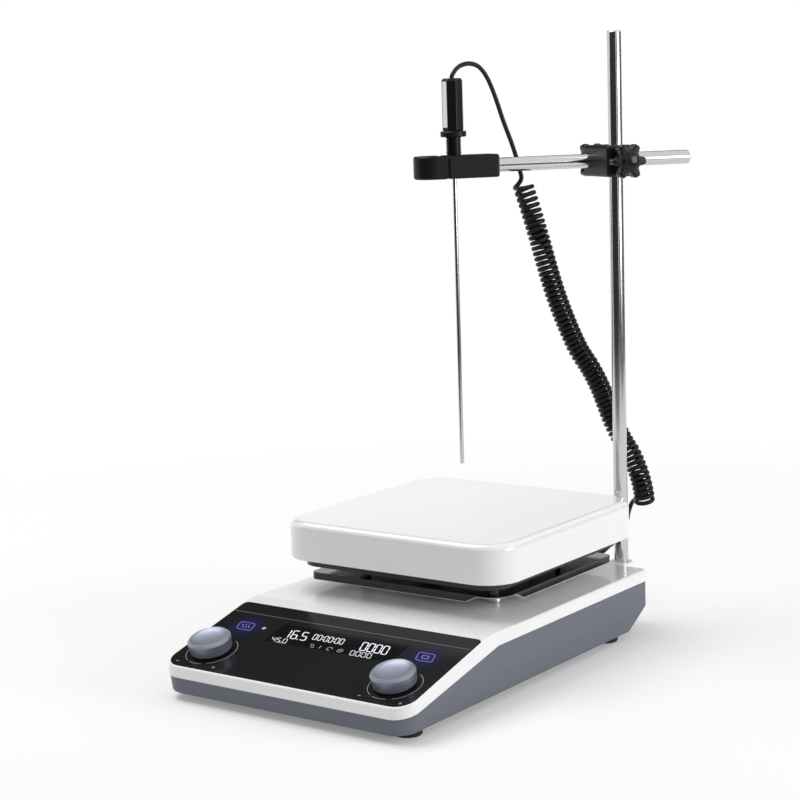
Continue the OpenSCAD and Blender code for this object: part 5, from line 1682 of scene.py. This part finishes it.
# Probe: profiles of its stub with a thread, its eight-sided grip, its collar and the tip of its sheath
STUB_FOOT = [(4.6, -6), (5.4, -5.6), (5.4, 8.2)]
THREAD = [(4.75, 0.25), (4.75, 0.65), (5.45, 1.1), (5.45, 1.45)]
STUB_TOP = [(5.3, 21), (5.3, 25)]
GRIP = [(7.1, 24.5), (7.7, 25.1), (7.7, 58.9), (6.5, 60.5)]
COLLAR = [(5.55, 21.5), (5.55, 20.5), (8.4, 20.5), (9, 21.1), (9, 23.9), (8.4, 24.5), (5.55, 24.5),
          (5.55, 24.0)]
SHEATH_TIP = [(0.2, 0), (0.9, 0.2), (1.35, 0.7), (1.5, 1.5)]
SHEATH_R = 1.5
# Bright strip on the grip, and how far the grip and the strip are turned
STRIP_LOW = (6.9, -2.3, 27)
STRIP_HIGH = (7.25, 2.3, 58.3)
HANDLE_TURN = 8.1
STRIP_FACE = -104.4


def on_clamp_rim(edge):
    """Whether the ends of an edge lie at the clamp's top or foot, or its middle at the cross rod's end."""
    outside = all(abs(abs(v.co.z) / MM - CLAMP_HIGH[2]) < NEAR for v in edge.verts)
    return outside or abs(middle(edge).x - CLAMP_LOW[0]) < NEAR


def probe_clamp():
    """The clamp along the cross rod, before it is set in its place."""
    clamp = block("probe_clamp_cast", CLAMP_LOW, CLAMP_HIGH)
    enter(clamp)
    for side in (-1, 1):
        pick("FACE", lambda f: f.normal.y * side > LEVEL)
        bpy.ops.mesh.inset(thickness=SIDE_FRAME * MM)
        bpy.ops.transform.translate(value=(0, -SIDE_SINK * side * MM, 0))
    round_edges(on_clamp_rim, CLAMP_ROUND, steps=3)
    leave()
    nose = block("nose", NOSE_LOW, NOSE_HIGH)
    enter(nose)
    round_edges(lambda e: climbs(e) and middle(e).x > NOSE_FRONT, NOSE_ROUND, steps=12)
    round_edges(lambda e: not climbs(e), CLAMP_ROUND, steps=3)
    leave()
    carve(nose, pin("recess", NOSE_RECESS_R, *NOSE_RECESS, at(RECESS_S, 0, 0), sides=48))
    join([clamp, nose, block("neck", NECK_LOW, NECK_HIGH)])
    bore = pin("stub_bore", STUB_BORE_R, -BORE_LEN, BORE_LEN, at(PROBE_S, 0, 0), sides=40)
    seat = pin("rod_seat", ROD_BORE_R, 0, SEAT_LEN, at(SEAT_START, 0, 0) @ turn(90, "Y"), sides=40)
    carve(clamp, bore, use_self=True)
    carve(clamp, seat)
    return clamp


class STIRRER_OT_probe(bpy.types.Operator):
    """Models the probe's clamp, threaded stub, collar, handle with its bright strip, and steel sheath"""

    bl_idname = "stirrer.probe"
    bl_label = "Probe"

    def execute(self, context):
        dress(settle(probe_clamp(), on_cross()), "probe", "black_plastic", "probe_clamp")
        spot = on_cross() @ at(PROBE_S, 0, 0)
        upright = at(*[v / MM for v in spot.translation])
        profile = STUB_FOOT + repeated(THREAD, start=8.4, pitch=1.7, count=7) + STUB_TOP
        stub = settle(turned("stub", profile, sides=40), upright)
        grip = turned("probe_grip", GRIP, sides=8)
        soften(grip, 0.5, steps=3, angle=30)
        settle(grip, upright @ turn(HANDLE_TURN, "Z"))
        dress(join([grip, stub]), "probe", "black_plastic", "probe_handle", finish="gloss_plastic", smooth=28)
        collar = settle(turned("probe_collar_turned", COLLAR, sides=48), upright)
        dress(collar, "probe", "black_plastic", "probe_collar")
        strip = block("probe_strip", STRIP_LOW, STRIP_HIGH)
        soften(strip, 0.12)
        dress(settle(strip, upright @ turn(STRIP_FACE, "Z")), "probe", "rod_steel", finish="strip_silver")
        profile = SHEATH_TIP + [(SHEATH_R, sheath_high[2] - sheath_low[2])]
        sheath = settle(turned("probe_sheath_turned", profile, sides=24), at(probe_x, probe_y, sheath_low[2]))
        dress(sheath, "probe", "rod_steel", "probe_sheath")
        return {"FINISHED"}


# Pieces inside, which keep the frame's shapes

INSIDE = {
    "status_lens": "lens_white", "control_board": "board_green", "board_posts": "screw_steel",
    "temp_encoder": "motor_steel", "speed_encoder": "motor_steel", "temp_plunger": "natural_plastic",
    "speed_plunger": "natural_plastic", "temp_shaft": "screw_steel", "speed_shaft": "screw_steel",
    "stir_motor": "motor_steel", "motor_bracket": "sheet_steel", "motor_screws": "screw_steel",
    "motor_shaft": "screw_steel", "magnet_yoke": "sheet_steel", "drive_magnets": "magnet",
    "heating_element": "heater_metal", "insulation_pad": "insulation", "power_board": "board_green",
    "power_parts": "electronics", "rod_screw_pad": "pad_brass", "arm_screw_pad": "pad_brass",
    "clamp_screw": "screw_steel",
}


class STIRRER_OT_inside(bpy.types.Operator):
    """Gives the pieces inside the case their finishes"""

    bl_idname = "stirrer.inside"
    bl_label = "Pieces inside"

    def execute(self, context):
        for node, slot in INSIDE.items():
            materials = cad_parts[node].data.materials
            materials.clear()
            materials.append(finish_of(slot))
        return {"FINISHED"}


OPERATORS = [
    STIRRER_OT_stage, STIRRER_OT_lead, STIRRER_OT_lower_shell, STIRRER_OT_upper_shell, STIRRER_OT_feet,
    STIRRER_OT_panel, STIRRER_OT_knobs, STIRRER_OT_hotplate, STIRRER_OT_carriers, STIRRER_OT_rear,
    STIRRER_OT_stand, STIRRER_OT_probe, STIRRER_OT_inside,
]


class STIRRER_PT_sidebar(bpy.types.Panel):
    """Lists the sizes, the colours and the steps of the stirrer"""

    bl_idname = "STIRRER_PT_sidebar"
    bl_label = "Heated magnetic stirrer"
    bl_space_type = "VIEW_3D"
    bl_region_type = "UI"
    bl_category = "Stirrer"

    def draw(self, context):
        for group in (context.scene.stirrer_sizes, context.scene.stirrer_colours):
            for name in group.__annotations__:
                self.layout.prop(group, name)
        for operator in OPERATORS:
            self.layout.operator(operator.bl_idname)


CLASSES = [StirrerSizes, StirrerColours, *OPERATORS, STIRRER_PT_sidebar]


def register():
    """Makes the sizes, colours, steps and sidebar known."""
    for item in CLASSES:
        bpy.utils.register_class(item)
    bpy.types.Scene.stirrer_sizes = PointerProperty(type=StirrerSizes)
    bpy.types.Scene.stirrer_colours = PointerProperty(type=StirrerColours)


def unregister():
    """Takes them away again."""
    del bpy.types.Scene.stirrer_colours
    del bpy.types.Scene.stirrer_sizes
    for item in reversed(CLASSES):
        bpy.utils.unregister_class(item)


def main():
    """Runs every step."""
    register()
    for operator in OPERATORS:
        group, name = operator.bl_idname.split(".")
        getattr(getattr(bpy.ops, group), name)()


if __name__ == "__main__":
    main()
